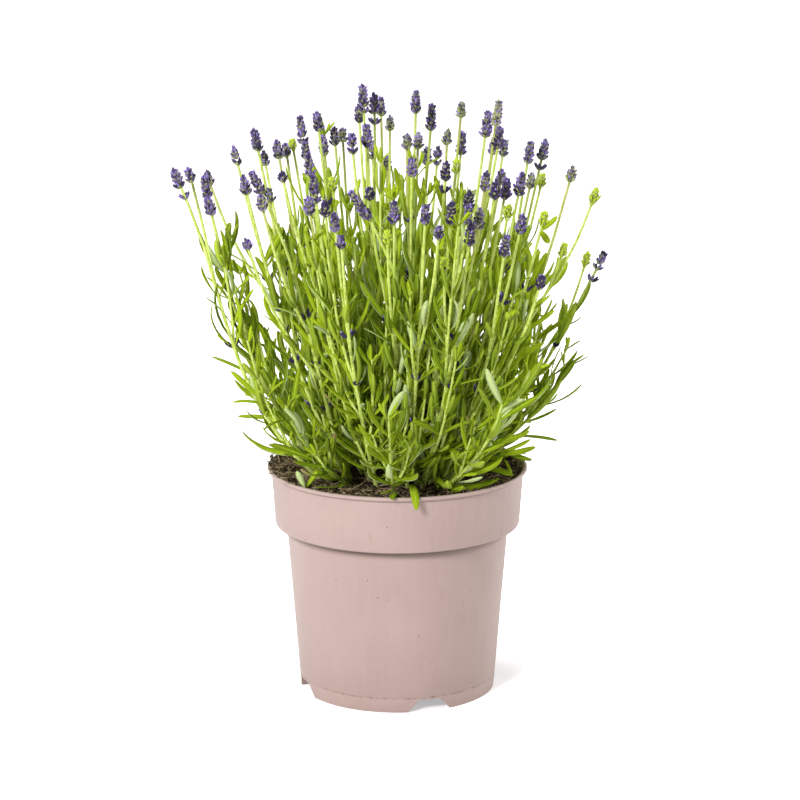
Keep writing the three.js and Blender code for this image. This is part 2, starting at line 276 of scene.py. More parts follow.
def plastic_material():
    """Satin dusty-pink plastic with moulding streaks, scratches, specks, dirt in its seam, and painted shade
    under the ledge and the lip.
    """
    material, tree, shader, at = new_material(
        "dusty_pink_plastic", Specular_IOR_Level=0.35, Sheen_Weight=0.22, Sheen_Roughness=0.35)
    base = place(tree, blotches, Place=at, Scale=14.0, Low=colour(0.393, 0.283, 0.258),
                 High=colour(0.437, 0.321, 0.292))["Colour"]
    drawn = place(tree, streaks, Place=at, Scale=260.0, Stretch=0.035)["Streaks"]
    base = blend(tree, times(tree, drawn, 0.16), base, colour(0.519, 0.395, 0.366))
    xyz = add(tree, "ShaderNodeSeparateXYZ", {0: at}).outputs
    # Dirt lies in the seam over the foot and thins out above it.
    foot = spread(tree, xyz["Z"], 0.0, 0.030, 1.0, 0.0)
    grime = broad_share(tree, at, 70.0)
    base = blend(tree, times(tree, times(tree, foot, grime), 0.2), base, colour(0.30, 0.20, 0.15))
    # Painted shade: the body is darkened in a band under the ledge, and in a thin line under the lip, where
    # their shadows fall.
    painted_shade_under_ledge = spread(tree, xyz["Z"], (LEDGE_Z - 7) * MM, (LEDGE_Z - 2.2) * MM)
    not_collar = maths(tree, "LESS_THAN", xyz["Z"], (LEDGE_Z + 0.05) * MM)
    base = blend(tree, times(tree, times(tree, painted_shade_under_ledge, not_collar), 0.8), base,
                 colour(0.150, 0.098, 0.080))
    # Painted shadow: a thin dark line just under the lip.
    painted_shadow_under_lip = off_level(tree, xyz["Z"], (POT_HEIGHT - LIP_HEIGHT - 0.5) * MM)
    base = blend(tree, spread(tree, painted_shadow_under_lip, 0.0004, 0.0011, 0.34, 0.0), base, colour(0.170, 0.110, 0.090))
    near_seam = off_level(tree, xyz["Z"], SEAM_Z * MM)
    crumbs = add(tree, "ShaderNodeTexNoise", {"Vector": at, "Scale": 330.0, "Detail": 2.0})
    broken = spread(tree, crumbs.outputs[0], 0.46, 0.62, 0.12, 1.0)
    seam = times(tree, spread(tree, near_seam, 0.0002, 0.0008, 1.0, 0.0), broken)
    base = blend(tree, times(tree, seam, 0.7), base, colour(0.15, 0.09, 0.06))
    dots = place(tree, specks, Place=at, Scale=150.0, Size=0.075, Amount=0.17)["Mask"]
    base = blend(tree, times(tree, dots, 0.7), base, colour(0.11, 0.06, 0.04))
    dust = place(tree, specks, Place=at, Scale=420.0, Size=0.16, Amount=0.12)["Mask"]
    base = blend(tree, times(tree, dust, 0.35), base, colour(0.25, 0.16, 0.12))
    # Short thin scratches: steep bands of stretched noise, kept where a broad cloud lets them through.
    turned = add(tree, "ShaderNodeMapping", {"Vector": at, "Rotation": (0.2, 0.5, 0.4),
                                             "Scale": (1.0, 1.0, 0.045)})
    marks = add(tree, "ShaderNodeTexNoise", {"Vector": turned.outputs[0], "Scale": 520.0, "Detail": 1.0})
    cloud = add(tree, "ShaderNodeTexNoise", {"Vector": at, "Scale": 34.0, "Detail": 1.0})
    scratch = times(tree, spread(tree, marks.outputs[0], 0.70, 0.73),
                    spread(tree, cloud.outputs[0], 0.60, 0.65))
    base = blend(tree, times(tree, scratch, 0.42), base, colour(0.34, 0.22, 0.18))
    tree.links.new(base, shader.inputs["Base Color"])
    grain = place(tree, fine_grain, Place=at, Scale=1400.0, Coarse=0.4)["Height"]
    rough = maths(tree, "ADD", spread(tree, grain, 0.3, 0.7, 0.42, 0.52), times(tree, grime, 0.05))
    tree.links.new(rough, shader.inputs["Roughness"])
    relief(tree, shader, grain, 0.00006, 0.6)
    return material


def peat_material():
    """Dark crumbly peat with paler dry crumbs."""
    material, tree, shader, at = new_material("peat", 0.95, Specular_IOR_Level=0.2)
    base = place(tree, blotches, Place=at, Scale=110.0, Low=colour(0.010, 0.006, 0.0035),
                 High=colour(0.062, 0.036, 0.019))["Colour"]
    dry = place(tree, specks, Place=at, Scale=330.0, Size=0.30, Amount=0.16)["Mask"]
    base = blend(tree, times(tree, dry, 0.7), base, colour(0.16, 0.10, 0.055))
    grain = surface(tree, shader, at, base, 620.0, 0.5, (0.2, 0.8, 0.85, 1.0))
    relief(tree, shader, grain, 0.0012)
    return material


def litter_material():
    """Peat crumbs and root fibres, from near black to straw. Each has its own tone."""
    material, tree, shader, at = new_material("peat_litter", 0.9, Specular_IOR_Level=0.25)
    tone = parts_of(tree, "tone")["X"]
    base = blend(tree, tone, colour(0.016, 0.010, 0.005), colour(0.52, 0.40, 0.22))
    lines = place(tree, streaks, Place=at, Scale=700.0, Stretch=0.4)["Streaks"]
    base = blend(tree, times(tree, lines, 0.45), base, colour(0.055, 0.032, 0.018))
    grain = surface(tree, shader, at, base, 1500.0, 0.5, (0.2, 0.8, 0.8, 1.0))
    relief(tree, shader, grain, 0.0004)
    return material


def green_material():
    """Stems and leaves. "place" is across, along and underside; "tone" is shade, leaf or stem, and age: 1 for
    a leaf or a stalk that goes brown, -1 for a leaf with pale felt under it."""
    material, tree, shader, at = new_material("lavender_green", 0.5, Specular_IOR_Level=0.03)
    across, along, under = (parts_of(tree, "place")[axis] for axis in "XYZ")
    shade, leaf, age = (parts_of(tree, "tone")[axis] for axis in "XYZ")
    # Upper side of a leaf: from yellow green to deep green.
    upper = blend(tree, shade, colour(0.385, 0.510, 0.012), colour(0.054, 0.105, 0.002))
    upper = blend(tree, times(tree, broad_share(tree, at, 130.0), 0.35), upper, colour(0.200, 0.300, 0.004))
    lower = blend(tree, shade, colour(0.370, 0.490, 0.045), colour(0.105, 0.170, 0.008))
    felt = times(tree, age, -1.0, True)
    lower = blend(tree, felt, lower, colour(0.450, 0.545, 0.250))
    blade = blend(tree, spread(tree, under, 0.49, 0.53), upper, lower)
    veins = maths(tree, "ABSOLUTE", across)
    midrib = spread(tree, veins, 0.05, 0.22, 0.55, 0.0)
    blade = blend(tree, midrib, blade, colour(0.470, 0.600, 0.070))
    rim = spread(tree, veins, 0.86, 1.0, 0.0, 0.35)
    blade = blend(tree, rim, blade, colour(0.430, 0.560, 0.060))
    blade = blend(tree, spread(tree, along, 0.0, 0.22, 0.5, 0.0), blade, colour(0.520, 0.680, 0.040))
    # Stem: yellow green, streaked, pale at the foot and grey green under the flowers.
    stem = blend(tree, place(tree, streaks, Place=at, Scale=900.0, Stretch=0.05)["Streaks"],
                 colour(0.330, 0.470, 0.006), colour(0.860, 0.930, 0.340))
    stem = blend(tree, times(tree, shade, 0.4), stem, colour(0.230, 0.345, 0.006))
    stem = blend(tree, spread(tree, along, 0.0, 0.12, 0.55, 0.0), stem, colour(0.700, 0.790, 0.300))
    stem = blend(tree, spread(tree, along, 0.75, 1.0, 0.0, 0.4), stem, colour(0.400, 0.500, 0.140))
    green = blend(tree, leaf, stem, blade)
    # Old leaves go brown from the tip, and some stalks are flushed under their flowers.
    dry = times(tree, spread(tree, along, 0.60, 0.95), age, True)
    green = blend(tree, times(tree, dry, 0.8), green, colour(0.330, 0.210, 0.120))
    flecks = place(tree, specks, Place=at, Scale=520.0, Size=0.20, Amount=0.10)["Mask"]
    green = blend(tree, times(tree, flecks, 0.25), green, colour(0.130, 0.220, 0.010))
    grain = surface(tree, shader, at, green, 1900.0, 0.5, (0.25, 0.75, 0.42, 0.62))
    relief(tree, shader, maths(tree, "ADD", grain, times(tree, midrib, -0.8)), 0.00010, 0.7)
    return material


def flower_material():
    """Calyx buds. "place" is around, along and mouth; "tone" is shade, ripeness and open petals. Ripeness
    runs from 0, a lime bud, past 0.3, an olive one, to 1, and is -1 on a bract."""
    material, tree, shader, at = new_material("lavender_flower", 0.65, Specular_IOR_Level=0.3)
    along, mouth = (parts_of(tree, "place")[axis] for axis in "YZ")
    shade, ripe, petal = (parts_of(tree, "tone")[axis] for axis in "XYZ")
    violet = blend(tree, maths(tree, "POWER", shade, 1.7), colour(0.011, 0.004, 0.044),
                   colour(0.310, 0.230, 0.565))
    violet = blend(tree, times(tree, broad_share(tree, at, 420.0), 0.14), violet, colour(0.330, 0.260, 0.560))
    calyx = blend(tree, shade, colour(0.200, 0.225, 0.100), colour(0.560, 0.580, 0.350))
    calyx = blend(tree, spread(tree, ripe, 0.05, 0.25, 1.0, 0.0), calyx, colour(0.470, 0.600, 0.040))
    # The violet reaches further down a riper bud. A lime one has none.
    edge = maths(tree, "SUBTRACT", spread(tree, ripe, 0.0, 0.3, 1.4, 0.70),
                 spread(tree, ripe, 0.3, 1.0, 0.0, 0.44))
    reach = spread(tree, maths(tree, "SUBTRACT", along, edge), -0.12, 0.16)
    base = blend(tree, reach, calyx, violet)
    bract = blend(tree, shade, colour(0.240, 0.290, 0.080), colour(0.520, 0.560, 0.260))
    bract = blend(tree, spread(tree, along, 0.6, 1.0, 0.0, 0.6), bract, colour(0.150, 0.100, 0.120))
    base = blend(tree, spread(tree, ripe, -0.6, -0.2, 1.0, 0.0), base, bract)
    ribs = place(tree, streaks, Place=at, Scale=1500.0, Stretch=0.35)["Streaks"]
    ribs = times(tree, ribs, spread(tree, ripe, 0.1, 0.9, 0.08, 0.35))
    base = blend(tree, ribs, base, colour(0.026, 0.018, 0.036))
    base = blend(tree, times(tree, petal, spread(tree, along, 0.80, 0.98)), base,
                 colour(0.290, 0.220, 0.620))
    # Painted shade: the sunken mouth of a ripe bud is darkened almost to black, as its hollow in shadow.
    base = blend(tree, times(tree, mouth, 0.8), base, colour(0.015, 0.009, 0.030))
    grain = surface(tree, shader, at, base, 2600.0, 0.4, (0.25, 0.75, 0.55, 0.8))
    relief(tree, shader, grain, 0.00020)
    return material


plastic, peat, litter = plastic_material(), peat_material(), litter_material()
green, flower = green_material(), flower_material()


# ---- Pieces ----

def mesh_of(name, bm):
    """A mesh made of a bmesh that is then done with."""
    mesh = bpy.data.meshes.new(name)
    bm.to_mesh(mesh)
    bm.free()
    return mesh


def in_scene(name, data):
    made = bpy.data.objects.new(name, data)
    bpy.context.scene.collection.objects.link(made)
    return made


def finish_piece(name, bm, material, stands_for=(), sharp=None):
    """Makes a piece of a finished bmesh: its material, its body and the CAD nodes it stands for."""
    mesh = mesh_of(name, bm)
    mesh.polygons.foreach_set("use_smooth", [True] * len(mesh.polygons))
    if sharp:
        mesh.set_sharp_from_angle(angle=math.radians(sharp))
    mesh.materials.append(material)
    piece = in_scene(name, mesh)
    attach(piece, "root")
    if stands_for:
        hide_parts(*stands_for)
    return piece


def new_body():
    """An empty bmesh with the two attributes that the plant's materials read."""
    bm = bmesh.new()
    return bm, bm.verts.layers.float_vector.new("place"), bm.verts.layers.float_vector.new("tone")


def lathe(bm, profile, steps):
    """A round solid from a profile of (radius, height) in millimetres, whose ends stand on the axis."""
    line = [bm.verts.new((radius * MM, 0, z * MM)) for radius, z in profile]
    edges = [bm.edges.new(pair) for pair in zip(line, line[1:])]
    bmesh.ops.spin(bm, geom=line + edges, cent=(0, 0, 0), axis=(0, 0, 1), angle=math.tau, steps=steps,
                   use_merge=True, use_duplicate=False)
    bmesh.ops.remove_doubles(bm, verts=bm.verts, dist=1e-6)
    bmesh.ops.recalc_face_normals(bm, faces=bm.faces)


def round_over(bm, corner, width, segments=3):
    """Rounds the ring edge of a round solid that runs through one corner of its profile."""
    radius, z = corner[0] * MM, corner[1] * MM
    on = [v for v in bm.verts
          if abs(v.co.z - z) < 1e-6 and abs(math.hypot(v.co.x, v.co.y) - radius) < 1e-6]
    kept = set(on)
    ring = [e for e in bm.edges if e.verts[0] in kept and e.verts[1] in kept]
    bmesh.ops.bevel(bm, geom=ring, offset=width * MM, offset_type="OFFSET", segments=segments, profile=0.5,
                    affect="EDGES", clamp_overlap=True, material=-1)


def body_radius(z):
    return mix(FOOT_RADIUS, BODY_TOP_RADIUS, z / LEDGE_Z)


def make_pot():
    lip_z = POT_HEIGHT - LIP_HEIGHT
    floor_z = BASE_Z + WALL
    seam = 0.35
    groove = 0.14
    profile = [
        (0, BASE_Z), (body_radius(BASE_Z) - WALL, BASE_Z), (FOOT_RADIUS - WALL, 0), (FOOT_RADIUS, 0),
        (body_radius(SEAM_Z - seam), SEAM_Z - seam), (body_radius(SEAM_Z) - groove, SEAM_Z),
        (body_radius(SEAM_Z + seam), SEAM_Z + seam), (body_radius(60), 60), (BODY_TOP_RADIUS, LEDGE_Z),
        (COLLAR_FOOT_RADIUS, LEDGE_Z),
        (mix(COLLAR_FOOT_RADIUS, COLLAR_TOP_RADIUS, 0.5), (LEDGE_Z + lip_z) / 2),
        (COLLAR_TOP_RADIUS, lip_z - 0.4), (LIP_RADIUS, lip_z + 0.5), (LIP_RADIUS, POT_HEIGHT),
        (LIP_RADIUS - LIP_WIDTH, POT_HEIGHT), (COLLAR_TOP_RADIUS - WALL, lip_z - 0.6),
        (COLLAR_FOOT_RADIUS - WALL, LEDGE_Z + WALL),
        (body_radius(LEDGE_Z) - WALL, LEDGE_Z + WALL), (body_radius(floor_z) - WALL, floor_z), (0, floor_z)]
    bm = bmesh.new()
    lathe(bm, profile, POT_STEPS)
    for corner, width in ((3, 0.5), (8, 0.9), (9, 1.2), (11, 0.35), (12, 0.5), (13, 0.7), (14, 0.6),
                          (1, 0.8)):
        round_over(bm, profile[corner], width)
    pot = finish_piece("nursery_pot", bm, plastic, ["pot"], sharp=40)
    tools = [cheeks(), notches(), drains()]
    for tool, operation in zip(tools, ("UNION", "DIFFERENCE", "DIFFERENCE")):
        cut = pot.modifiers.new("cut", "BOOLEAN")
        cut.operation, cut.solver, cut.object = operation, "EXACT", tool
    cut_mesh = bpy.data.meshes.new_from_object(pot.evaluated_get(bpy.context.evaluated_depsgraph_get()))
    pot.modifiers.clear()
    pot.data = cut_mesh
    cut_mesh.set_sharp_from_angle(angle=math.radians(40))
    for tool in tools:
        bpy.data.objects.remove(tool)


def four_times(bm):
    """A tool for the foot, from what was made at -Y. It is turned to the first notch and repeated at each
    quarter."""
    to_notch = Matrix.Rotation(math.radians(NOTCH_TURN), 3, "Z")
    bmesh.ops.rotate(bm, cent=(0, 0, 0), matrix=to_notch, verts=bm.verts)
    bmesh.ops.spin(bm, geom=[*bm.verts, *bm.edges, *bm.faces], cent=(0, 0, 0), axis=(0, 0, 1),
                   angle=math.tau * 0.75, steps=3, use_duplicate=True)
    return in_scene("tool", mesh_of("tool", bm))


def notch_half(z):
    return mix(NOTCH_FOOT_WIDTH, NOTCH_TOP_WIDTH, z / NOTCH_TOP_Z) / 2


def cheeks():
    """Blocks behind the foot ring, of which the notches leave a short wall on each side."""
    bm = bmesh.new()
    bmesh.ops.create_cube(bm, size=1.0)
    for vert in bm.verts:
        z = BASE_Z + WALL / 2 if vert.co.z > 0 else 0.15
        half = notch_half(z) + WALL
        front = -math.sqrt((body_radius(z) - WALL / 2) ** 2 - half ** 2)
        depth = CHEEK_END - FOOT_RADIUS if vert.co.y > 0 else front
        vert.co = Vector((math.copysign(half, vert.co.x), depth, z)) * MM
    return four_times(bm)


def notches():
    """Blocks, wider at the foot, that cut the drain notches in the foot ring."""
    bm = bmesh.new()
    bmesh.ops.create_cube(bm, size=1.0)
    for vert in bm.verts:
        z = NOTCH_TOP_Z if vert.co.z > 0 else -1
        vert.co = Vector((math.copysign(notch_half(z), vert.co.x),
                          -FOOT_RADIUS + (CHEEK_END + 4 if vert.co.y > 0 else -3), z)) * MM
    upright = [e for e in bm.edges if e.verts[0].co.z > 0.005 and e.verts[1].co.z > 0.005
               and abs(e.verts[0].co.x - e.verts[1].co.x) < 1e-6]
    bmesh.ops.bevel(bm, geom=upright, offset=0.8 * MM, offset_type="OFFSET", segments=3, profile=0.5,
                    affect="EDGES", material=-1)
    return four_times(bm)


def drains():
    """Round-ended bars that cut the slots through the base plate."""
    bm = bmesh.new()
    bmesh.ops.create_circle(bm, cap_ends=True, segments=24, radius=DRAIN_WIDTH / 2 * MM)
    for vert in bm.verts:
        vert.co.x += math.copysign((DRAIN_LENGTH - DRAIN_WIDTH) / 2 * MM, vert.co.x + 1e-9)
        vert.co.y += (-FOOT_RADIUS + 8) * MM
        vert.co.z = (BASE_Z - 1) * MM
    made = bmesh.ops.extrude_face_region(bm, geom=bm.faces[:])["geom"]
    bmesh.ops.translate(bm, verts=[g for g in made if isinstance(g, bmesh.types.BMVert)], vec=(0, 0, 4 * MM))
    bmesh.ops.recalc_face_normals(bm, faces=bm.faces)
    return four_times(bm)


def lumps(x, y):
    """How far the peat's crumbs stand over its mean level at a place, in millimetres."""
    near = Vector((x, y, 0))
    coarse = noise.fractal(near / 9, 0.8, 2.1, 4)
    clods = noise.voronoi(near / 4.2)[0][0]
    return 1.5 * coarse + 1.3 * (0.55 - clods) + 0.5 * noise.noise(near / 1.3)


def heap(x, y):
    """How far the peat is heaped up at the left and all along the wall, in millimetres."""
    by_wall = min(1, max(0, (math.hypot(x, y) - 60) / 16)) ** 2
    at_left = 5.0 * math.exp(-((x + 74) ** 2 + (y - 12) ** 2) / 480)
    return at_left + by_wall * (0.6 + 0.6 * noise.noise(Vector((x, y, 0)) / 17))


def make_soil():
    """The root ball, with a crumbly top."""
    floor_z, ledge_z = BASE_Z + WALL + 0.3, LEDGE_Z + WALL + 0.3
    inset = WALL + 0.3
    top = [(SOIL_RADIUS * (1 - i / SOIL_RINGS), SOIL_Z) for i in range(SOIL_RINGS + 1)]
    profile = [(0, floor_z), (body_radius(floor_z) - inset, floor_z), (body_radius(LEDGE_Z) - inset, ledge_z),
               (COLLAR_FOOT_RADIUS - inset, ledge_z), *top]
    bm = bmesh.new()
    lathe(bm, profile, SOIL_STEPS)
    for vert in bm.verts:
        if abs(vert.co.z - SOIL_Z * MM) < 1e-6:
            x, y = vert.co.x / MM, vert.co.y / MM
            edge = min(1, (SOIL_RADIUS - math.hypot(x, y)) / 4)
            vert.co.z = (soil_level(x, y) + heap(x, y) + lumps(x, y) * (0.4 + 0.6 * edge)) * MM
    finish_piece("peat_root_ball", bm, peat, ["potting_soil"])


# ---- Shapes that are repeated ----

class Blank:
    """A small closed shape along +Z, one unit long, that is copied, bent and coloured many times."""

    def __init__(self, name, bm, describe):
        bmesh.ops.recalc_face_normals(bm, faces=bm.faces)
        self.mesh = mesh_of(name, bm)
        self.points = [tuple(v.co) for v in self.mesh.vertices]
        self.places = [describe(*point) for point in self.points]


def stack(bm, ring, heights, shape):
    """Pulls a ring up through heights. shape(vertex as it was, height) gives its place there. Gives the last
    ring's edges back."""
    known = {vert: vert.co.copy() for vert in ring}
    edges = [e for e in bm.edges if all(v in known for v in e.verts)]
    for vert in ring:
        vert.co = shape(known[vert], heights[0])
    for height in heights[1:]:
        made = bmesh.ops.extrude_edge_only(bm, edges=edges)["geom"]
        new = [g for g in made if isinstance(g, bmesh.types.BMVert)]
        edges = [g for g in made if isinstance(g, bmesh.types.BMEdge)
                 and all(v in set(new) for v in g.verts)]
        origin = {}
        for vert in new:
            twin = next(o for e in vert.link_edges for o in [e.other_vert(vert)] if o in known)
            origin[vert] = known[twin]
        for vert, co in origin.items():
            vert.co = shape(co, height)
        known = origin
    return edges


LEAF_SECTION = ((-1.0, -0.16), (-0.55, 0.15), (0.0, 0.0), (0.55, 0.15), (1.0, -0.16), (0.0, -0.36))
LEAF_OUTLINE = ((0.0, 0.28), (0.10, 0.52), (0.26, 0.82), (0.45, 0.97), (0.62, 1.0), (0.78, 0.93),
                (0.90, 0.68), (0.965, 0.36), (0.99, 0.12))


def make_leaf_blank():
    """A narrow leaf with a groove along its upper side, a rib under it, and a blunt tip."""
    bm = bmesh.new()
    bmesh.ops.create_circle(bm, cap_ends=True, segments=6, radius=1.0)
    bm.verts.ensure_lookup_table()
    ring = bm.verts[:]
    for vert, (across, up) in zip(ring, LEAF_SECTION):
        vert.co = (across, up, 0)
    widths = dict(LEAF_OUTLINE)

    def shape(co, height):
        width = widths[height]
        return Vector((co.x * width, co.y * (0.45 + 0.55 * width), height))

    edges = stack(bm, ring, [height for height, _ in LEAF_OUTLINE], shape)
    bmesh.ops.edgeloop_fill(bm, edges=edges)

    def describe(x, y, z):
        width = widths[min(widths, key=lambda h: abs(h - z))]
        side = x / width
        return max(-1, min(1, side)), z, 1.0 if y < -0.12 else (0.5 if abs(side) > 0.9 else 0.0)

    return Blank("leaf_blank", bm, describe)


def make_bud_blank(name, centre):
    """A plump ribbed calyx with six teeth round its mouth. centre is the height of the mouth's middle."""
    outline = {0.0: 0.40, 0.22: 0.84, 0.5: 1.0, 0.8: 0.96, 1.0: 0.66}
    bm = bmesh.new()
    bmesh.ops.create_circle(bm, cap_ends=True, segments=6, radius=1.0)
    ring = bm.verts[:]

    def shape(co, height):
        odd = round(math.degrees(math.atan2(co.y, co.x)) / 60) % 2
        ridge = 1.0 + (0.12 if odd else -0.06) * (1 if 0 < height else 0)
        lift = (0.07 if odd else -0.05) if height == 1.0 else 0.0
        return Vector((co.x * outline[height] * ridge, co.y * outline[height] * ridge, height + lift))

    edges = stack(bm, ring, list(outline), shape)
    mouth = bmesh.ops.edgeloop_fill(bm, edges=edges)["faces"]
    middle = bmesh.ops.poke(bm, faces=mouth)["verts"][0]
    middle.co.z = centre

    def describe(x, y, z):
        inner = math.hypot(x, y) < 0.05 and z > 0.5
        return math.atan2(y, x) / math.pi, min(z, 1.0), 1.0 if inner and centre < 1 else 0.0

    return Blank(name, bm, describe)


def make_crumb_blank():
    bm = bmesh.new()
    bmesh.ops.create_icosphere(bm, subdivisions=1, radius=1.0)
    return Blank("crumb_blank", bm, lambda x, y, z: (x, z, 0.0))


def make_fibre_blank():
    """A thin root fibre that tapers to its tip."""
    bm = bmesh.new()
    bmesh.ops.create_circle(bm, cap_ends=True, segments=4, radius=1.0)

    def shape(co, height):
        return Vector((co.x * (1 - 0.75 * height), co.y * (1 - 0.75 * height), height))

    edges = stack(bm, bm.verts[:], [0.0, 0.16, 0.33, 0.5, 0.67, 0.84, 1.0], shape)
    bmesh.ops.edgeloop_fill(bm, edges=edges)
    return Blank("fibre_blank", bm, lambda x, y, z: (x, z, 0.0))


leaf_blank = make_leaf_blank()
crumb_blank, fibre_blank = make_crumb_blank(), make_fibre_blank()
shut_bud = make_bud_blank("shut_bud", 1.12)
ripe_bud = make_bud_blank("ripe_bud", 0.88)
open_bud = make_bud_blank("open_bud", 1.30)


def put(bm, layers, blank, settle, tone):
    """Copies a blank into a body. settle(x, y, z) gives each of its points its place."""
    first = len(bm.verts)
    bm.from_mesh(blank.mesh)
    bm.verts.ensure_lookup_table()
    place_layer, tone_layer = layers
    for vert, point, described in zip(bm.verts[first:], blank.points, blank.places):
        vert.co = settle(*point)
        vert[place_layer] = described
        vert[tone_layer] = tone


def square_to(way, hint):
    """A unit direction square to a way, as near to a hint as it can be."""
    side = hint - way * way.dot(hint)
    return side.normalized() if side.length > 1e-6 else way.orthogonal().normalized()


def side_at(way, turn):
    """A direction square to a way, at an angle about the pot's axis."""
    return square_to(way, Vector((math.cos(turn), math.sin(turn), 0)))


def lean_out(way, out, angle):
    return way * math.cos(angle) + out * math.sin(angle)


def clear_of_pot(point):
    """A point lifted out of the peat and off the pot's rim."""
    x, y, z = (c / MM for c in point)
    from_axis = math.hypot(x, y)
    over_rim = POT_HEIGHT + RIM_ROOM
    if from_axis > LIP_RADIUS + LIP_ROOM:
        floor = over_rim - DROOP * (from_axis - LIP_RADIUS - LIP_ROOM)
    else:
        over_peat = soil_level(x, y) + heap(x, y) + PEAT_ROOM
        by_wall = min(1, max(0, (from_axis - SOIL_RADIUS + 8) / 8))
        floor = mix(over_peat, max(over_peat, over_rim), by_wall)
    return Vector((point.x, point.y, max(point.z, floor * MM)))


def bent_line(root, way, upper, length, curl, twist, sweep, steps):
    """Points, directions and upper sides along a line that leaves root along way. Over its length it curls
    towards its upper side, twists about itself and sweeps sideways, in degrees."""
    way = way.normalized()
    upper = square_to(way, upper)
    line = [(root.copy(), way.copy(), upper.copy())]
    point = root.copy()
    for i in range(steps):
        ease = 0.5 + (i + 0.5) / steps
        across = way.cross(upper)
        turn = (Quaternion(across, math.radians(curl) * ease / steps)
                @ Quaternion(upper, math.radians(sweep) * ease / steps)
                @ Quaternion(way, math.radians(twist) / steps))
        way, upper = turn @ way, turn @ upper
        upper = square_to(way, upper)
        point = point + way * (length / steps)
        line.append((point.copy(), way.copy(), upper.copy()))
    return line


def lay_along(line, half_width, half_thickness):
    """How a blank is laid along a bent line."""
    steps = len(line) - 1

    def settle(x, y, z):
        spot = min(max(z, 0), 1) * steps
        low = min(int(spot), steps - 1)
        share = spot - low
        (p0, w0, u0), (p1, w1, u1) = line[low], line[low + 1]
        ahead = w0.lerp(w1, share).normalized()
        up = square_to(ahead, u0.lerp(u1, share))
        return p0.lerp(p1, share) + ahead.cross(up) * (x * half_width) + up * (y * half_thickness)

    return settle


def put_leaf(bm, layers, root, way, upper, length, width, curl=0.0, twist=0.0, sweep=0.0, shade=0.5,
             age=0.0, free=False):
    """One leaf, from its root on the stem. A free one may lie against the pot."""
    line = bent_line(root, way, upper, length, curl, twist, sweep, 14)
    if not free:
        line = [(clear_of_pot(p), w, u) for p, w, u in line]
    settle = lay_along(line, width / 2, max(width / 2, LEAF_HALF_THICKNESS * MM))
    put(bm, layers, leaf_blank, settle, (min(1, max(0, shade)), 1.0, age))


def put_bud(bm, layers, root, way, length, half_width, ripe, shade, facing=None):
    """A calyx bud, or a flat bract if it has a way that it faces."""
    way = way.normalized()
    side = square_to(way, facing or Vector([chance.uniform(-1, 1) for _ in range(3)]))
    other = way.cross(side)
    thin = half_width * (0.4 if facing else 1.0)

    def settle(x, y, z):
        return root + way * (z * length) + side * (x * thin) + other * (y * half_width)

    kind = chance.random()
    petal = 1.0 if kind < 0.10 * ripe else 0.0
    blank = open_bud if petal else (ripe_bud if kind < 0.4 * ripe else shut_bud)
    put(bm, layers, blank, settle, (shade, ripe, petal))


# ---- What lies on the peat ----

def on_peat(x, y):
    level = soil_level(x, y) + heap(x, y) + lumps(x, y)
    if math.hypot(x, y) > LIP_RADIUS - LIP_WIDTH:
        level = max(level, POT_HEIGHT + 0.2)
    return Vector((x, y, level)) * MM


def somewhere(outer=True):
    """A place on the peat, more often near the pot's wall."""
    angle = chance.uniform(0, math.tau)
    share = math.sqrt(chance.uniform(0.45, 0.97)) if outer else math.sqrt(chance.random()) * 0.97
    from_axis = SOIL_RADIUS * share
    return from_axis * math.cos(angle), from_axis * math.sin(angle)


def left_heap():
    """A place on the heap at the left, by the wall or on the rim."""
    angle = math.pi + chance.gauss(-0.15, 0.5)
    from_axis = SOIL_RADIUS * chance.uniform(0.72, 1.05)
    return from_axis * math.cos(angle), from_axis * math.sin(angle)


def put_crumb(bm, layers, x, y, size):
    axis = Vector([chance.gauss(0, 1) for _ in range(3)]).normalized()
    turned = Quaternion(axis, chance.uniform(0, math.tau))
    shape = Vector([size * chance.uniform(low, high) for low, high in ((0.7, 1.3), (0.5, 1.0), (0.4, 0.9))])
    centre = on_peat(x, y) + UP * size * 0.25
    seed = Vector((x, y, size / MM)) * 3

    def settle(px, py, pz):
        rough = 1 + 0.45 * noise.noise(Vector((px, py, pz)) * 1.6 + seed)
        return centre + turned @ Vector((px * shape.x, py * shape.y, pz * shape.z)) * rough

    put(bm, layers, crumb_blank, settle, (chance.uniform(0, 0.85) ** 2, 0, 0))


def put_fibre(bm, layers, x, y, length, rise):
    flat = chance.uniform(0, math.tau)
    way = Vector((math.cos(flat), math.sin(flat), rise))
    line = bent_line(on_peat(x, y) + UP * 0.3 * MM, way, UP, length, chance.uniform(-70, 20),
                     chance.uniform(-40, 40), chance.uniform(-120, 120), 10)
    half = chance.uniform(0.18, 0.42) * MM
    line = [(Vector((p.x, p.y, max(p.z, on_peat(p.x / MM, p.y / MM).z + half))), w, u) for p, w, u in line]
    put(bm, layers, fibre_blank, lay_along(line, half, half), (chance.uniform(0.25, 1.0), 0, 0))


def make_litter():
    """Crumbs, and pale root fibres that lie on the peat or stand out of it."""
    bm, *layers = new_body()
    for i in range(CRUMBS):
        spot = left_heap() if i % 5 == 0 else somewhere(i % 3 > 0)
        put_crumb(bm, layers, *spot, chance.uniform(0.5, 1.9) * MM)
    for i in range(FIBRES):
        spot = left_heap() if i % 3 == 0 else somewhere(i % 4 > 0)
        put_fibre(bm, layers, *spot, chance.uniform(5, 19) * MM, chance.choice((0.05, 0.15, 0.5)))
    for _ in range(UPRIGHT_FIBRES):
        put_fibre(bm, layers, *left_heap(), chance.uniform(9, 20) * MM, chance.uniform(0.8, 2.2))
    finish_piece("peat_litter", bm, litter)


# ---- Stems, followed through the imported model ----

STEP = 2 * MM
FOLLOW_DOWN_TO = 128 * MM
STEM_REACH = 6 * MM  # how far a stem may lie from where its last points lead
TIP_REACH = 3.2 * MM
NECK_HALF, SPIKE_HALF = 1.45 * MM, 1.8 * MM


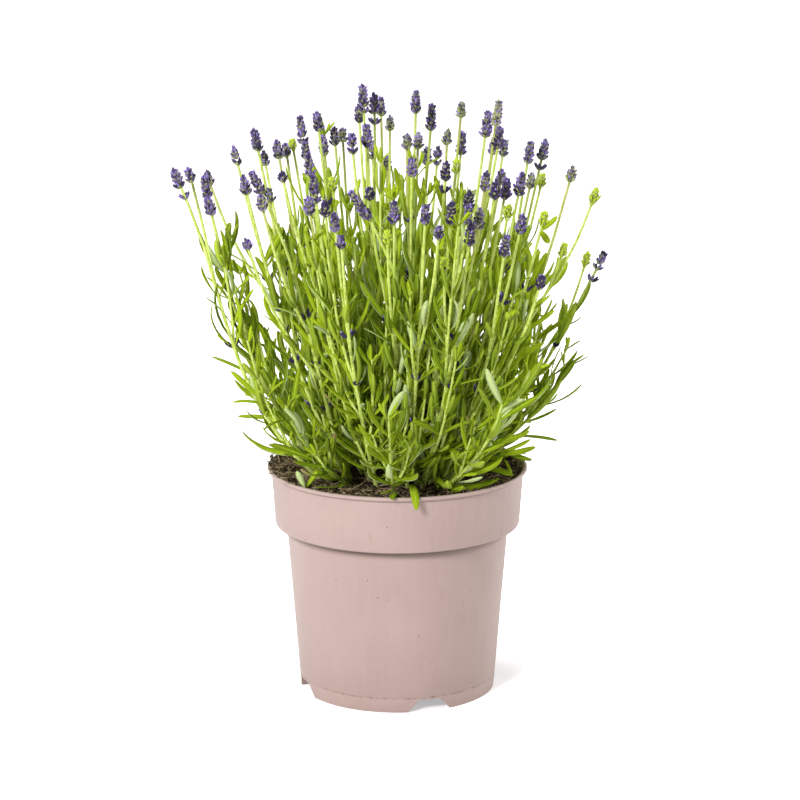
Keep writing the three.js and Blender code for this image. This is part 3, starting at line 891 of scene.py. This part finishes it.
def level_cuts(node):
    """How level planes cut a CAD solid: a function from a height to the outlines there, each with its centre,
    its half diagonal as if square, and how far from compact it is."""
    bm = bmesh.new()
    bm.from_mesh(node.data)
    bmesh.ops.remove_doubles(bm, verts=bm.verts, dist=2e-6)
    bm.edges.index_update()
    ends = [(e.verts[0].co.copy(), e.verts[1].co.copy()) for e in bm.edges]
    faces_by_edge = [[[o.index for o in f.edges] for f in e.link_faces] for e in bm.edges]
    corners = [v.co.copy() for v in bm.verts]
    bm.free()

    def cut(height):
        crossing = {}
        for i, (a, b) in enumerate(ends):
            if (a.z < height) != (b.z < height):
                crossing[i] = a.lerp(b, (height - a.z) / (b.z - a.z))
        outlines = []
        while crossing:
            at, loop = next(iter(crossing)), []
            while at is not None:
                loop.append(crossing.pop(at))
                at = next((o for f in faces_by_edge[at] for o in f if o in crossing), None)
            pairs = list(zip(loop, loop[1:] + loop[:1]))
            around = sum((b - a).length for a, b in pairs)
            area = abs(sum(a.x * b.y - b.x * a.y for a, b in pairs)) / 2
            if area < 1e-10:
                continue
            centre = sum(((a + b) * (b - a).length / 2 for a, b in pairs), Vector()) / around
            outlines.append((centre, math.sqrt(area / 2), around * around / area))
        return outlines

    return cut, corners


def smooth_line(points, rounds):
    """Takes the corners out of a line. Its ends stay."""
    for _ in range(rounds):
        between = [(a + 2 * b + c) / 4 for a, b, c in zip(points, points[1:], points[2:])]
        points = [points[0], *between, points[-1]]
    return points


class Stem:
    """A stem from its foot to its tip, with its flower spike's foot and tip if it has one."""

    def __init__(self, points):
        self.points = points
        self.halves = []
        self.on = None
        self.spike = None

    def finish(self, rounds=30):
        self.points = smooth_line(self.points, rounds)
        self.sums = [0.0]
        for a, b in zip(self.points, self.points[1:]):
            self.sums.append(self.sums[-1] + (b - a).length)
        self.length = self.sums[-1]

    def distance_at(self, height):
        """How far along the stem a height is first reached."""
        return next(total for total, point in zip(self.sums, self.points) if point.z >= height)

    def at(self, distance):
        """The stem's point and direction at a distance from its foot."""
        distance = min(max(distance, 0), self.length - 1e-9)
        low = max(i for i, total in enumerate(self.sums) if total <= distance)
        low = min(low, len(self.points) - 2)
        share = (distance - self.sums[low]) / max(self.sums[low + 1] - self.sums[low], 1e-9)
        ahead = self.points[min(low + 2, len(self.points) - 1)] - self.points[max(low - 1, 0)]
        return self.points[low].lerp(self.points[low + 1], share), ahead.normalized()


def follow_flower_stems(name):
    """The stems of a flowering shoot, followed from their tips down to the fork or the peat."""
    cut, corners = level_cuts(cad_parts[name])
    top = max(c.z for c in corners)
    open_stems, done = [], []
    height = top - 0.4 * MM
    while height > FOLLOW_DOWN_TO:
        outlines = cut(height)
        claimed = {}
        for stem in open_stems:
            last = stem.points[-1]
            guess = last + (last - stem.points[-2]) if len(stem.points) > 3 else last
            apart = [(centre.xy - guess.xy).length for centre, _, _ in outlines]
            best = min(range(len(apart)), key=apart.__getitem__, default=None)
            if best is not None and apart[best] < STEM_REACH:
                claimed.setdefault(best, []).append(stem)
            else:
                done.append(stem)
        still_open = []
        for i, (centre, half, _) in enumerate(outlines):
            stems = claimed.get(i, [])
            if not stems:
                stems = [Stem([])]
            stems.sort(key=lambda s: -len(s.points))
            for stem in stems:
                stem.points.append(centre)
                stem.halves.append(half)
            still_open.append(stems[0])
            for branch in stems[1:]:
                branch.on = stems[0]
                done.append(branch)
        open_stems = still_open
        height -= STEP
    done = [s for s in done + open_stems if len(s.points) > 6]
    for stem in done:
        first = stem.points[0]
        near = [c for c in corners if (c - first).length < TIP_REACH]
        tip = sum(near, Vector()) / len(near)
        past = next((i for i in range(3, len(stem.halves)) if stem.halves[i] < NECK_HALF
                     and max(stem.halves[:i]) > SPIKE_HALF), 3)
        neck = stem.points[past]
        stem.spike = (neck, tip)
        stem.points = stem.points[past:][::-1]
        if stem.on:
            into_fork = (stem.points[1] - stem.points[0]).normalized() * 2 * MM
            stem.points.insert(0, stem.points[0] - into_fork)
    return done


def follow_leafy_stem(name):
    """The stem of a leafy shoot, followed up from the peat through its leaves."""
    cut, corners = level_cuts(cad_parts[name])
    height = min(c.z for c in corners) + 1.5 * MM
    stem, missed = Stem([]), 0
    while missed < 9:
        outlines = [o for o in cut(height) if o[2] < 24 and o[1] < 2.2 * MM]
        if not stem.points:
            stem.points.append(outlines[0][0])
        else:
            last = stem.points[-1]
            slope = (last - stem.points[-2]) / STEP if len(stem.points) > 1 else Vector()
            guess = last + slope * (height - last.z)
            reach = (2.5 if len(stem.points) > 1 else 6) * MM
            near = [o for o in outlines if (o[0].xy - guess.xy).length < reach]
            if near:
                found = min(near, key=lambda o: (o[0].xy - guess.xy).length)[0]
                for k in range(1, missed + 2):
                    stem.points.append(last.lerp(found, k / (missed + 1)))
                missed = 0
            else:
                missed += 1
        height += STEP
    return stem


def grow_stem(bm, layers, stem, girth, shade, nodes=(), flush=0.0):
    """A square stem with soft corners, a little thicker at its nodes. girth(share) is its half width, and
    flush is how brown it goes near its tip."""
    place_layer, tone_layer = layers
    stops = {0.0, stem.length}
    spacing = 9 * MM
    stops |= {i * spacing for i in range(1, int(stem.length / spacing))}
    for node in nodes:
        stops = {s for s in stops if abs(s - node) > 4 * MM} | {node - 2.2 * MM, node, node + 2.4 * MM}
    stops = sorted(s for s in stops if 0 <= s <= stem.length)
    ring = bmesh.ops.create_circle(bm, cap_ends=True, segments=8, radius=1.0)["verts"]
    for i, vert in enumerate(ring):
        angle = math.radians(45 * (i // 2 * 2) + 22.5 + (8.5 if i % 2 == 0 else 36.5))
        vert.co = (math.cos(angle), math.sin(angle), 0)
    kept = {vert: vert.co.copy() for vert in ring}
    edges = [e for e in bm.edges if e.verts[0] in kept and e.verts[1] in kept]
    way = UP
    across = Vector((1, 0, 0))
    first = True
    for stop in stops:
        point, ahead = stem.at(stop)
        across = square_to(ahead, way.rotation_difference(ahead) @ across)
        way = ahead
        other = way.cross(across)
        share = stop / stem.length
        half = girth(share) * (1.32 if any(abs(stop - n) < 1e-9 for n in nodes) else 1.0)
        if not first:
            made = bmesh.ops.extrude_edge_only(bm, edges=edges)["geom"]
            new = {g for g in made if isinstance(g, bmesh.types.BMVert)}
            edges = [g for g in made if isinstance(g, bmesh.types.BMEdge)
                     and g.verts[0] in new and g.verts[1] in new]
            kept = {v: next(kept[o] for e in v.link_edges for o in [e.other_vert(v)] if o in kept)
                    for v in new}
        first = False
        for vert, unit in kept.items():
            vert.co = point + across * (unit.x * half) + other * (unit.y * half)
            vert[place_layer] = (unit.x, share, 0)
            vert[tone_layer] = (shade, 0, flush)
    bmesh.ops.edgeloop_fill(bm, edges=edges)


def leaf_age():
    """Most leaves are green, some are felted under, and a few are old."""
    kind = chance.random()
    return 1.0 if kind < 0.012 else (-1.0 if kind < 0.16 else 0.0)


def to_light(way, upper):
    """A leaf's upper side, turned about its line towards the light that it grows in."""
    return square_to(way, upper + TO_LIGHT * LIGHT_PULL)


def pair_at(bm, layers, stem, distance, turn, length, width, shade, spread_angle, curl):
    """Two leaves face to face at a node."""
    point, way = stem.at(distance)
    side = side_at(way, turn)
    for out in (side, -side):
        open_by = math.radians(spread_angle + chance.uniform(-9, 9))
        heading = lean_out(way, out, open_by)
        upper = to_light(heading, way * math.sin(open_by) - out * math.cos(open_by))
        size = length * chance.uniform(0.84, 1.12)
        put_leaf(bm, layers, point + out * 0.5 * MM, heading, upper, size, width * chance.uniform(0.85, 1.1),
                 curl + chance.uniform(-18, 18), chance.uniform(-35, 35), chance.uniform(-14, 14),
                 shade + chance.uniform(-0.25, 0.25), leaf_age())


def tuft_at(bm, layers, stem, distance, turn, count, length, shade):
    """Young narrow leaves that stand in the corners between a leaf pair and its stem."""
    point, way = stem.at(distance)
    for i in range(count):
        around = turn + math.pi * (i % 2) + chance.uniform(-0.7, 0.7)
        out = side_at(way, around)
        open_by = math.radians(chance.uniform(16, 44))
        heading = lean_out(way, out, open_by)
        upper = to_light(heading, way * math.sin(open_by) - out * math.cos(open_by))
        size = length * chance.uniform(0.5, 1.0)
        width = max(YOUNG_LEAF_WIDTH * MM, size * YOUNG_LEAF_SHAPE)
        put_leaf(bm, layers, point + out * 0.7 * MM, heading, upper, size, width,
                 chance.uniform(-35, 40), chance.uniform(-30, 30), chance.uniform(-20, 20),
                 shade - 0.15 + chance.uniform(-0.2, 0.2))


def dress_stem(bm, layers, stem, nodes, shade, tall, heads=None, turn=None):
    """Leaf pairs, tufts and, on a flowering shoot, corner buds at a stem's nodes. Each pair stands a quarter
    turn on from the one below."""
    turn = chance.uniform(0, math.tau) if turn is None else turn
    for i, node in enumerate(nodes):
        height = node / tall
        long = mix(35, 33, height) * MM * chance.uniform(0.85, 1.15)
        wide = mix(5.0, 4.6, height) * MM
        pair_at(bm, layers, stem, node, turn, long, wide, shade, mix(46, 36, height),
                chance.choice((44, 34, 52, 26, 60, -16)) if i else chance.choice((20, 34)))
        if heads and height > 0.3 and chance.random() < 0.8:
            corner_buds(*heads, stem, node, turn)
        if height < 0.75:
            tuft_at(bm, layers, stem, node, turn, chance.choice((2, 2, 3, 4)) if height < 0.45 else 2,
                    mix(20, 12, height) * MM, shade)
        turn += math.pi / 2 + chance.uniform(-0.25, 0.25)


def side_shoot(bm, layers, stem, distance, turn, length, shade):
    """A leafy side shoot that leaves a node and turns upwards. Far out on the plant it grows back inwards."""
    point, way = stem.at(distance)
    far_out = point.x < FAR_LEFT * MM or point.x > FAR_RIGHT * MM
    if far_out or abs(stem.points[-1].x) > OUTER_TIP * MM:
        length = max(LEAST_SIDE_SHOOT * MM, min(length, stem.length - distance - BARE_TOP * MM))
    if far_out and point.x * math.cos(turn) > -0.3 * abs(point.x):
        turn = math.pi - turn if point.x * math.cos(turn) > 0.3 * abs(point.x) else math.atan2(
            math.sin(turn), math.copysign(0.6, -point.x))
    side = side_at(way, turn)
    open_by = math.radians(chance.uniform(16, 34))
    heading = lean_out(way, side, open_by)
    goal = (way * 0.9 + UP * 0.6 + side * chance.uniform(0.0, 0.12)).normalized()
    step = 4 * MM
    points = [point]
    for _ in range(int(length / step)):
        heading = heading.lerp(goal, 0.13).normalized()
        points.append(points[-1] + heading * step)
    twig = Stem([clear_of_pot(p) for p in points])
    twig.finish(2)
    nodes = node_places(chance.uniform(9, 15) * MM, twig.length - 3 * MM, 14 * MM, 34 * MM)
    grow_stem(bm, layers, twig, lambda s: mix(1.05, 0.7, s) * MM, shade, nodes)
    around = chance.uniform(0, math.tau)
    for node in nodes:
        height = node / twig.length
        pair_at(bm, layers, twig, node, around, mix(29, 21, height) * MM, mix(4.1, 3.3, height) * MM,
                shade - 0.05, mix(40, 27, height), chance.choice((40, 30, 52, 20, -20)))
        around += math.pi / 2 + chance.uniform(-0.3, 0.3)
    tuft_at(bm, layers, twig, twig.length - 1.2 * MM, around, 4, 13 * MM, shade - 0.2)


def node_places(first, last, low_gap, high_gap):
    """Distances of nodes along a stem, with gaps that widen upwards."""
    places, at = [], first
    while at < last:
        places.append(at)
        at += mix(low_gap, high_gap, min(1, at / 0.15)) * chance.uniform(0.85, 1.15)
    return places


# ---- Flower spikes ----

def whorl(bm, layers, centre, way, turn, count, tilt, length, half_width, ripe, out=0.4, bracts=False,
          shade=chance.random):
    """A ring of buds, or of bracts, round a point of the spike's line."""
    side = square_to(way, Vector((1, 0, 0)))
    other = way.cross(side)
    for i in range(count):
        angle = turn + math.tau * i / count + chance.uniform(-0.16, 0.16)
        outward = lean_out(side, other, angle)
        lean = math.radians(tilt + chance.uniform(-8, 8))
        heading = lean_out(way, outward, lean)
        root = centre + outward * out * MM + way * chance.uniform(-0.4, 0.4) * MM
        long = length * chance.uniform(0.84, 1.14)
        half = half_width * chance.uniform(0.86, 1.12)
        if bracts:
            put_bud(bm, layers, root, heading, long, half, -1.0, shade(), facing=outward)
        else:
            own_ripe = min(1, max(0, ripe + chance.uniform(-0.15, 0.15) * min(1, ripe * 3)))
            put_bud(bm, layers, root, heading, long, half, own_ripe, shade())


def make_spike(bm, layers, neck, tip, ripe, lower_whorl, dark=False):
    """A flower spike: whorls of calyx buds over papery bracts, that close up to a point. The lowest whorl
    often stands a little apart, like a cup."""
    way = (tip - neck).normalized()
    length = (tip - neck).length
    size = min(1, 0.72 + length / (50 * MM))
    turn = chance.uniform(0, math.tau)
    apart = ripe > 0.6 and length > 11 * MM and chance.random() < 0.35
    fat = chance.uniform(0.90, 1.10) * (0.82 if ripe < 0.15 else 1.0)
    shade = (lambda: chance.uniform(0, 0.3)) if dark else (lambda: chance.random())
    foot, row = 0.0, 0
    while foot < length - 3.6 * MM:
        share = foot / length
        cup = apart and row == 0
        whorl(bm, layers, neck + way * (foot + 0.3 * MM), way, turn + 0.5, 4, mix(48, 26, share),
              mix(3.1, 2.4, share) * MM * size, mix(1.25, 0.9, share) * MM * size, 0, out=0.9, bracts=True)
        count = 7 if 0 < share < 0.6 else 6
        tilt = 34 if cup else mix(38, 16, share) * fat
        whorl(bm, layers, neck + way * foot, way, turn, count, tilt, mix(4.5, 3.6, share) * MM * size,
              mix(0.96, 0.80, share) * MM * size, ripe, out=mix(0.8, 0.4, share) * fat, shade=shade)
        turn += math.pi / 6.5 + chance.uniform(-0.15, 0.15)
        foot += chance.uniform(3.9, 4.6) * MM if cup else mix(2.75, 2.0, share) * MM * size
        row += 1
    whorl(bm, layers, tip - way * 3.9 * MM, way, turn, 4, 13, 3.5 * MM * size, 0.78 * MM * size, ripe,
          out=0.5, shade=shade)
    whorl(bm, layers, tip - way * 2.9 * MM, way, turn + 0.6, 3, 6, 3.3 * MM * size, 0.74 * MM * size, ripe,
          out=0.3, shade=shade)
    if lower_whorl:
        whorl(bm, layers, neck - way * lower_whorl * MM, way, turn, 6, 36, 4.8 * MM, 0.95 * MM, ripe,
              out=0.9, shade=shade)


def corner_buds(bm, layers, stem, distance, turn):
    """Small dark flower buds in the corners of a leaf pair."""
    point, way = stem.at(distance)
    side = side_at(way, turn)
    for out in (side, -side):
        for _ in range(chance.choice((2, 3, 4, 5))):
            heading = way + out * chance.uniform(0.3, 0.8) + way.cross(out) * chance.uniform(-0.45, 0.45)
            put_bud(bm, layers, point + out * 1.0 * MM, heading, chance.uniform(4.2, 6.8) * MM,
                    chance.uniform(0.8, 1.15) * MM, 1.0, chance.uniform(0, 0.12))


# ---- The plant ----

flowering = sorted(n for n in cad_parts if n.startswith("flower_shoot_"))
leafy = sorted(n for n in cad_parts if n.startswith("leafy_shoot_"))

# Spikes that are not ripe violet: shoot number, then which of its spikes.
LIME = {8: (2,), 13: (2,), 19: (1,), 23: (1,), 30: (1,), 31: (1,), 32: (1,), 36: (1,), 38: (0, 1),
        39: (1,)}
OLIVE = {4: (1,), 5: (1,), 12: (1,), 15: (1,), 16: (1,), 21: (0, 1), 24: (0, 1), 26: (0,), 31: (0,),
         32: (0,), 35: (1,)}
DARK = {9: (1,), 10: (2,), 18: (0,), 23: (0,), 28: (0,), 34: (0,), 35: (0,), 36: (0,), 38: (2,)}
GREYISH = {7: (0, 1), 16: (0,), 27: (0, 1), 3: (1,), 10: (1,), 11: (1,)}
# Shoots that stand out at the side: the heights of their nodes in millimetres, and the turn of their first
# leaf pair.
SET_NODES = {1: ((165, 192, 240), 0.2), 2: ((172, 196, 226, 286), 1.5)}
# Spikes with a whorl of buds apart from them: shoot number and spike, then how far below, in millimetres.
LOWER_WHORLS = {(1, 0): 8, (14, 1): 7, (23, 0): 8, (29, 1): 7, (39, 0): 9}
HEADS_IN_A_PIECE = 4


def ripeness(number, order):
    """From 0, a lime bud, to 1, a spike that is violet all over."""
    for kind, low, high in ((LIME, 0.0, 0.0), (OLIVE, 0.28, 0.40), (GREYISH, 0.50, 0.65)):
        if order in kind.get(number, ()):
            return chance.uniform(low, high)
    return chance.uniform(0.82, 1.0)


all_stems = []


def grow_flowering_shoot(name, heads):
    number = int(name[-2:])
    stems = follow_flower_stems(name)
    stems.sort(key=lambda s: (s.on is not None, -s.spike[1].z))
    bm, *layers = new_body()
    shade = chance.uniform(0.15, 0.75)
    for order, stem in enumerate(stems):
        ripe = ripeness(number, order)
        flush = 0.45 if 0.1 < ripe < 0.7 else 0.0
        stem.finish(30 if stem.on is None else 12)
        if stem.on is None:
            bare = chance.uniform(38, 70) * MM
            nodes = node_places(chance.uniform(18, 28) * MM, stem.length - bare, 18 * MM, 44 * MM)
            turn = None
            if number in SET_NODES:
                heights, turn = SET_NODES[number]
                nodes = [stem.distance_at(height * MM) for height in heights]
            all_stems.append(stem)
            grow_stem(bm, layers, stem, lambda s: mix(STEM_AT_SOIL, STEM_AT_FLOWER, s) * MM, shade, nodes,
                      flush)
            dress_stem(bm, layers, stem, nodes, shade, stem.length, heads, turn)
            for node in nodes[:SIDE_SHOOTS]:
                turn = chance.uniform(0, math.tau)
                side_shoot(bm, layers, stem, node, turn, chance.uniform(55, 130) * MM, shade)
        else:
            nodes = [n for n in (chance.uniform(0.2, 0.36) * stem.length,) if stem.length > 40 * MM]
            grow_stem(bm, layers, stem, lambda s: mix(TWIG, STEM_AT_FLOWER, s) * MM, shade, nodes, flush)
            for node in nodes:
                pair_at(bm, layers, stem, node, chance.uniform(0, math.tau), 25 * MM, 3.9 * MM, shade, 32,
                        chance.choice((40, 24)))
        make_spike(*heads, *stem.spike, ripe, LOWER_WHORLS.get((number, order), 0),
                   order in DARK.get(number, ()))
        if ripe < 0.1:
            under_spike = stem.length - 2.5 * MM
            pair_at(bm, layers, stem, under_spike, chance.uniform(0, math.tau), 9 * MM, 2.4 * MM, 0.0, 24, 15)
    finish_piece("flowering_shoot_" + name[-2:], bm, green, [name])


def grow_leafy_shoot(name):
    stem = follow_leafy_stem(name)
    stem.finish(24)
    all_stems.append(stem)
    bm, *layers = new_body()
    shade = chance.uniform(0.2, 0.8)
    nodes = node_places(chance.uniform(18, 24) * MM, stem.length - 4 * MM, 13 * MM, 19 * MM)
    grow_stem(bm, layers, stem, lambda s: mix(1.35, 0.8, s) * MM, shade, nodes)
    dress_stem(bm, layers, stem, nodes, shade, stem.length * 1.25)
    for node in nodes[:SIDE_SHOOTS]:
        turn = chance.uniform(0, math.tau)
        side_shoot(bm, layers, stem, node, turn, chance.uniform(30, 55) * MM, shade)
    tuft_at(bm, layers, stem, stem.length - 1.5 * MM, 0, 5, 17 * MM, shade - 0.15)
    finish_piece("leafy_shoot_stem_" + name[-2:], bm, green, [name])


make_pot()
make_soil()
make_litter()
for first in range(0, len(flowering), HEADS_IN_A_PIECE):
    heads_bm, *heads_layers = new_body()
    for name in flowering[first:first + HEADS_IN_A_PIECE]:
        grow_flowering_shoot(name, (heads_bm, heads_layers))
    finish_piece(f"flower_heads_{first // HEADS_IN_A_PIECE + 1:02d}", heads_bm, flower)
for name in leafy:
    grow_leafy_shoot(name)


# Leaves that show over the rim and the peat: root and tip in millimetres, width, curl in degrees, how far
# the upper side looks towards -Y, tone, and age.
RIM_LEAVES = [
    ((-62, -8, 160), (-102, -14, 175), 4.2, 62, 0.3, 0.30, 0),
    ((-66, -10, 162), (-88, -20, 190), 5.0, 48, 0.5, 0.75, 0),
    ((-84, 0, 177), (-99, -6, 188), 3.2, 50, 0.2, 0.60, -1),
    ((-69, 2, 160), (-85, 4, 162), 2.6, 40, 0.3, 0.55, 0),
    ((-61, -22, 168), (-51, -24, 181), 3.6, 10, -0.8, 0.20, -1),
    ((-59, -55, 148), (-64, -57, 160), 4.2, -20, -0.9, 0.10, -1),
    ((-59, -54, 148), (-50, -50, 161), 3.6, 40, 0.6, 0.30, 0),
    ((-61, -5, 160), (-44, -10, 163), 7.0, 20, 0.7, 0.95, 0),
    ((-43, -25, 167), (-52, -30, 171), 2.8, -60, 0.2, 0.00, 0),
    ((-48, -30, 159), (-42, -31, 166), 2.2, 15, 0.4, 0.00, 0),
    ((66, -30, 164), (89, -38, 171), 5.2, 14, 0.5, 0.25, 0),
    ((66, -28, 165), (86, -30, 174), 4.2, 18, 0.4, 0.20, 0),
    ((68, -26, 165), (87, -34, 161), 3.8, 0, 0.6, 0.50, 0),
    ((56, -45, 166), (51, -47, 177), 3.4, 16, -0.9, 0.05, -1),
    ((56, -45, 166), (60, -50, 177), 3.2, 20, -0.8, 0.30, -1),
    ((28, -58, 172), (44, -62, 181), 3.4, 22, 0.5, 0.20, 0),
    ((32, -58, 176), (43, -66, 168), 4.4, -50, 0.8, 0.10, 0),
    ((15, -60, 163), (28, -66, 174), 4.0, -30, 0.7, 0.35, 0),
    ((17, -62, 186), (28, -66, 201), 5.0, 24, -0.8, 0.05, -1),
    ((54, -38, 157), (74, -52, 156), 4.4, -34, 0.6, 0.50, 0),
    ((69, -30, 161), (74, -44, 153), 1.9, -40, 0.6, 0.30, 0),
    ((23, -62, 158), (32, -70, 152), 4.2, -20, 0.7, 0.60, 0),
    ((34, -68, 150), (42, -70, 153), 4.4, 20, 0.6, 0.50, 0),
    ((16, -62, 177), (1, -70, 173), 3.2, 34, -0.6, 0.10, -1),
    ((2, -62, 171), (7, -71, 163), 4.0, -46, 0.7, 0.05, 0),
    ((8, -66, 153), (13, -92, 144), 5.4, -96, 0.3, 0.35, 0),
]
# Broad and pale leaves that show among the shoots, each on the foremost stem at its root: root and tip in
# millimetres along X and Z, width, curl, how far the upper side looks towards -Y, tone, and age.
SHOWN_LEAVES = [
    ((-87, 191), (-97, 220), 5.6, 40, -0.9, 0.25, -1),
    ((-78, 190), (-89, 219), 3.4, 36, -0.8, 0.05, -1),
    ((-94, 291), (-83, 311), 5.8, -14, 0.7, 0.55, 0),
    ((-90, 288), (-80, 308), 3.6, 10, 0.5, 0.40, 0),
    ((-105, 247), (-114, 282), 5.4, 50, 0.2, 0.90, 0),
    ((-90, 241), (-99, 276), 5.6, 50, 0.2, 0.90, 0),
    ((-109, 287), (-120, 307), 4.4, 45, -0.6, 0.30, -1),
    ((-70, 263), (-57, 293), 5.6, 8, 0.6, 0.65, 0),
    ((-71, 262), (-82, 282), 4.4, 40, -0.7, 0.10, -1),
    ((-48, 181), (-56, 207), 5.2, 34, -0.7, 0.10, -1),
    ((76, 222), (66, 246), 4.8, 46, -0.8, 0.05, -1),
    ((73, 196), (88, 216), 3.6, 20, -0.8, 0.10, -1),
    ((35, 248), (47, 273), 4.2, 14, -0.5, 0.50, -1),
    ((25, 243), (13, 280), 4.2, 6, 0.6, 0.80, 0),
    ((39, 222), (45, 242), 6.0, 6, -0.9, 0.20, -1),
    ((18, 183), (28, 199), 4.6, 10, -0.8, 0.10, -1),
    ((106, 314), (116, 324), 4.4, 10, 0.7, 0.25, 0),
    ((106, 313), (111, 306), 4.4, -20, 0.8, 0.20, 0),
    ((101, 265), (116, 297), 5.0, 12, 0.6, 0.45, 0),
    ((117, 237), (129, 261), 3.6, 24, 0.4, 0.60, 0),
    ((116, 231), (125, 238), 2.8, 30, 0.3, 0.50, 0),
    ((97, 196), (112, 208), 5.0, -30, -0.7, 0.85, -1),
    ((-49, 223), (-35, 252), 4.6, 10, -0.8, 0.20, -1),
    ((-17, 227), (-8, 245), 5.2, -8, -0.9, 0.15, -1),
    ((16, 245), (10, 267), 4.2, 34, -0.9, 0.15, -1),
    ((-26, 216), (-33, 238), 3.0, 50, 0.6, 0.00, 0),
    ((21, 257), (26, 279), 3.6, 8, -0.8, 0.45, -1),
    ((32, 255), (39, 270), 4.6, 24, -0.8, 0.25, -1),
    ((-60, 236), (-46, 262), 4.4, 12, 0.7, 0.70, 0),
    ((48, 214), (58, 240), 4.4, 20, 0.7, 0.80, 0),
]


def foremost_stem(x, z):
    """The point of a stem that is nearest to a place along X and Z, and well to the front."""
    return min((p for stem in all_stems for p in stem.points),
               key=lambda p: 4 * math.hypot(p.x - x, p.z - z) + p.y)


def lay_leaf(bm, layers, root, tip, width, curl, to_front, shade, age):
    """A leaf between two points."""
    chord = tip - root
    upper = square_to(chord.normalized(), Vector((0, -to_front, math.sqrt(1 - to_front ** 2))))
    back = Quaternion(chord.normalized().cross(upper), math.radians(-0.42 * curl))
    length = chord.length * (1 + math.radians(curl) ** 2 / 26)
    put_leaf(bm, layers, root, back @ chord, back @ upper, length, width * MM, curl,
             chance.uniform(-12, 12), 0, shade, age, free=True)


def lay_set_leaves():
    bm, *layers = new_body()
    for root, tip, *look in RIM_LEAVES:
        lay_leaf(bm, layers, Vector(root) * MM, Vector(tip) * MM, *look)
    finish_piece("rim_leaves", bm, green)
    bm, *layers = new_body()
    for (x, z), (tip_x, tip_z), *look in SHOWN_LEAVES:
        root = foremost_stem(x * MM, z * MM)
        lay_leaf(bm, layers, root, root + Vector((tip_x - x, -7, tip_z - z)) * MM, *look)
    finish_piece("shown_leaves", bm, green)


lay_set_leaves()


# ---- Studio ----

def make_floor():
    bm = bmesh.new()
    bmesh.ops.create_grid(bm, x_segments=1, y_segments=1, size=9.0)
    mesh = mesh_of("floor", bm)
    floor = in_scene("floor", mesh)
    floor_white, tree, shader, at = new_material(
        "floor_white", 0.9, Base_Color=colour(0.85, 0.85, 0.85), Emission_Color=colour(1, 1, 1))
    from_pot = add(tree, "ShaderNodeVectorMath", {0: at}, operation="LENGTH").outputs["Value"]
    seen = add(tree, "ShaderNodeLightPath").outputs["Is Camera Ray"]
    glow = times(tree, spread(tree, from_pot, 0.08, 0.20, 0.42, 1.0), seen)
    tree.links.new(glow, shader.inputs["Emission Strength"])
    mesh.materials.append(floor_white)


def aim_at(thing, at, aim):
    thing.location = at
    thing.rotation_euler = (Vector(aim) - Vector(at)).to_track_quat("-Z", "Y").to_euler()


def make_light(name, at, size, power, aim=(0, 0, 0.2)):
    data = bpy.data.lights.new(name, "AREA")
    data.shape, data.size, data.energy = "DISK", size, power
    aim_at(in_scene(name, data), at, aim)


def make_camera(at, aim, lens):
    data = bpy.data.cameras.new("camera")
    data.lens, data.sensor_width = lens, 36
    camera = in_scene("camera", data)
    aim_at(camera, at, aim)
    bpy.context.scene.camera = camera


make_floor()
make_light("key", (-1.0, -1.9, 1.35), 0.6, 58)
make_light("fill", (1.7, -1.2, 0.8), 1.4, 5)
make_light("top", (-0.2, 0.2, 2.0), 0.8, 16)
make_light("left_edge", (-1.6, 0.7, 0.5), 1.4, 15)
make_light("right_edge", (1.6, 0.7, 0.5), 1.4, 26)
world = bpy.data.worlds.new("studio")
world.use_nodes = True
backdrop = world.node_tree.nodes["Background"]
backdrop.inputs["Color"].default_value = (1, 1, 1, 1)
seen = add(world.node_tree, "ShaderNodeLightPath").outputs["Is Camera Ray"]
world.node_tree.links.new(spread(world.node_tree, seen, 0, 1, 0.19, 1.0), backdrop.inputs["Strength"])
bpy.context.scene.world = world
bpy.context.scene.view_settings.view_transform = "Standard"
make_camera((0.0017, -1.993, 0.6657), (0.0017, 0, 0.1929), 141.2)
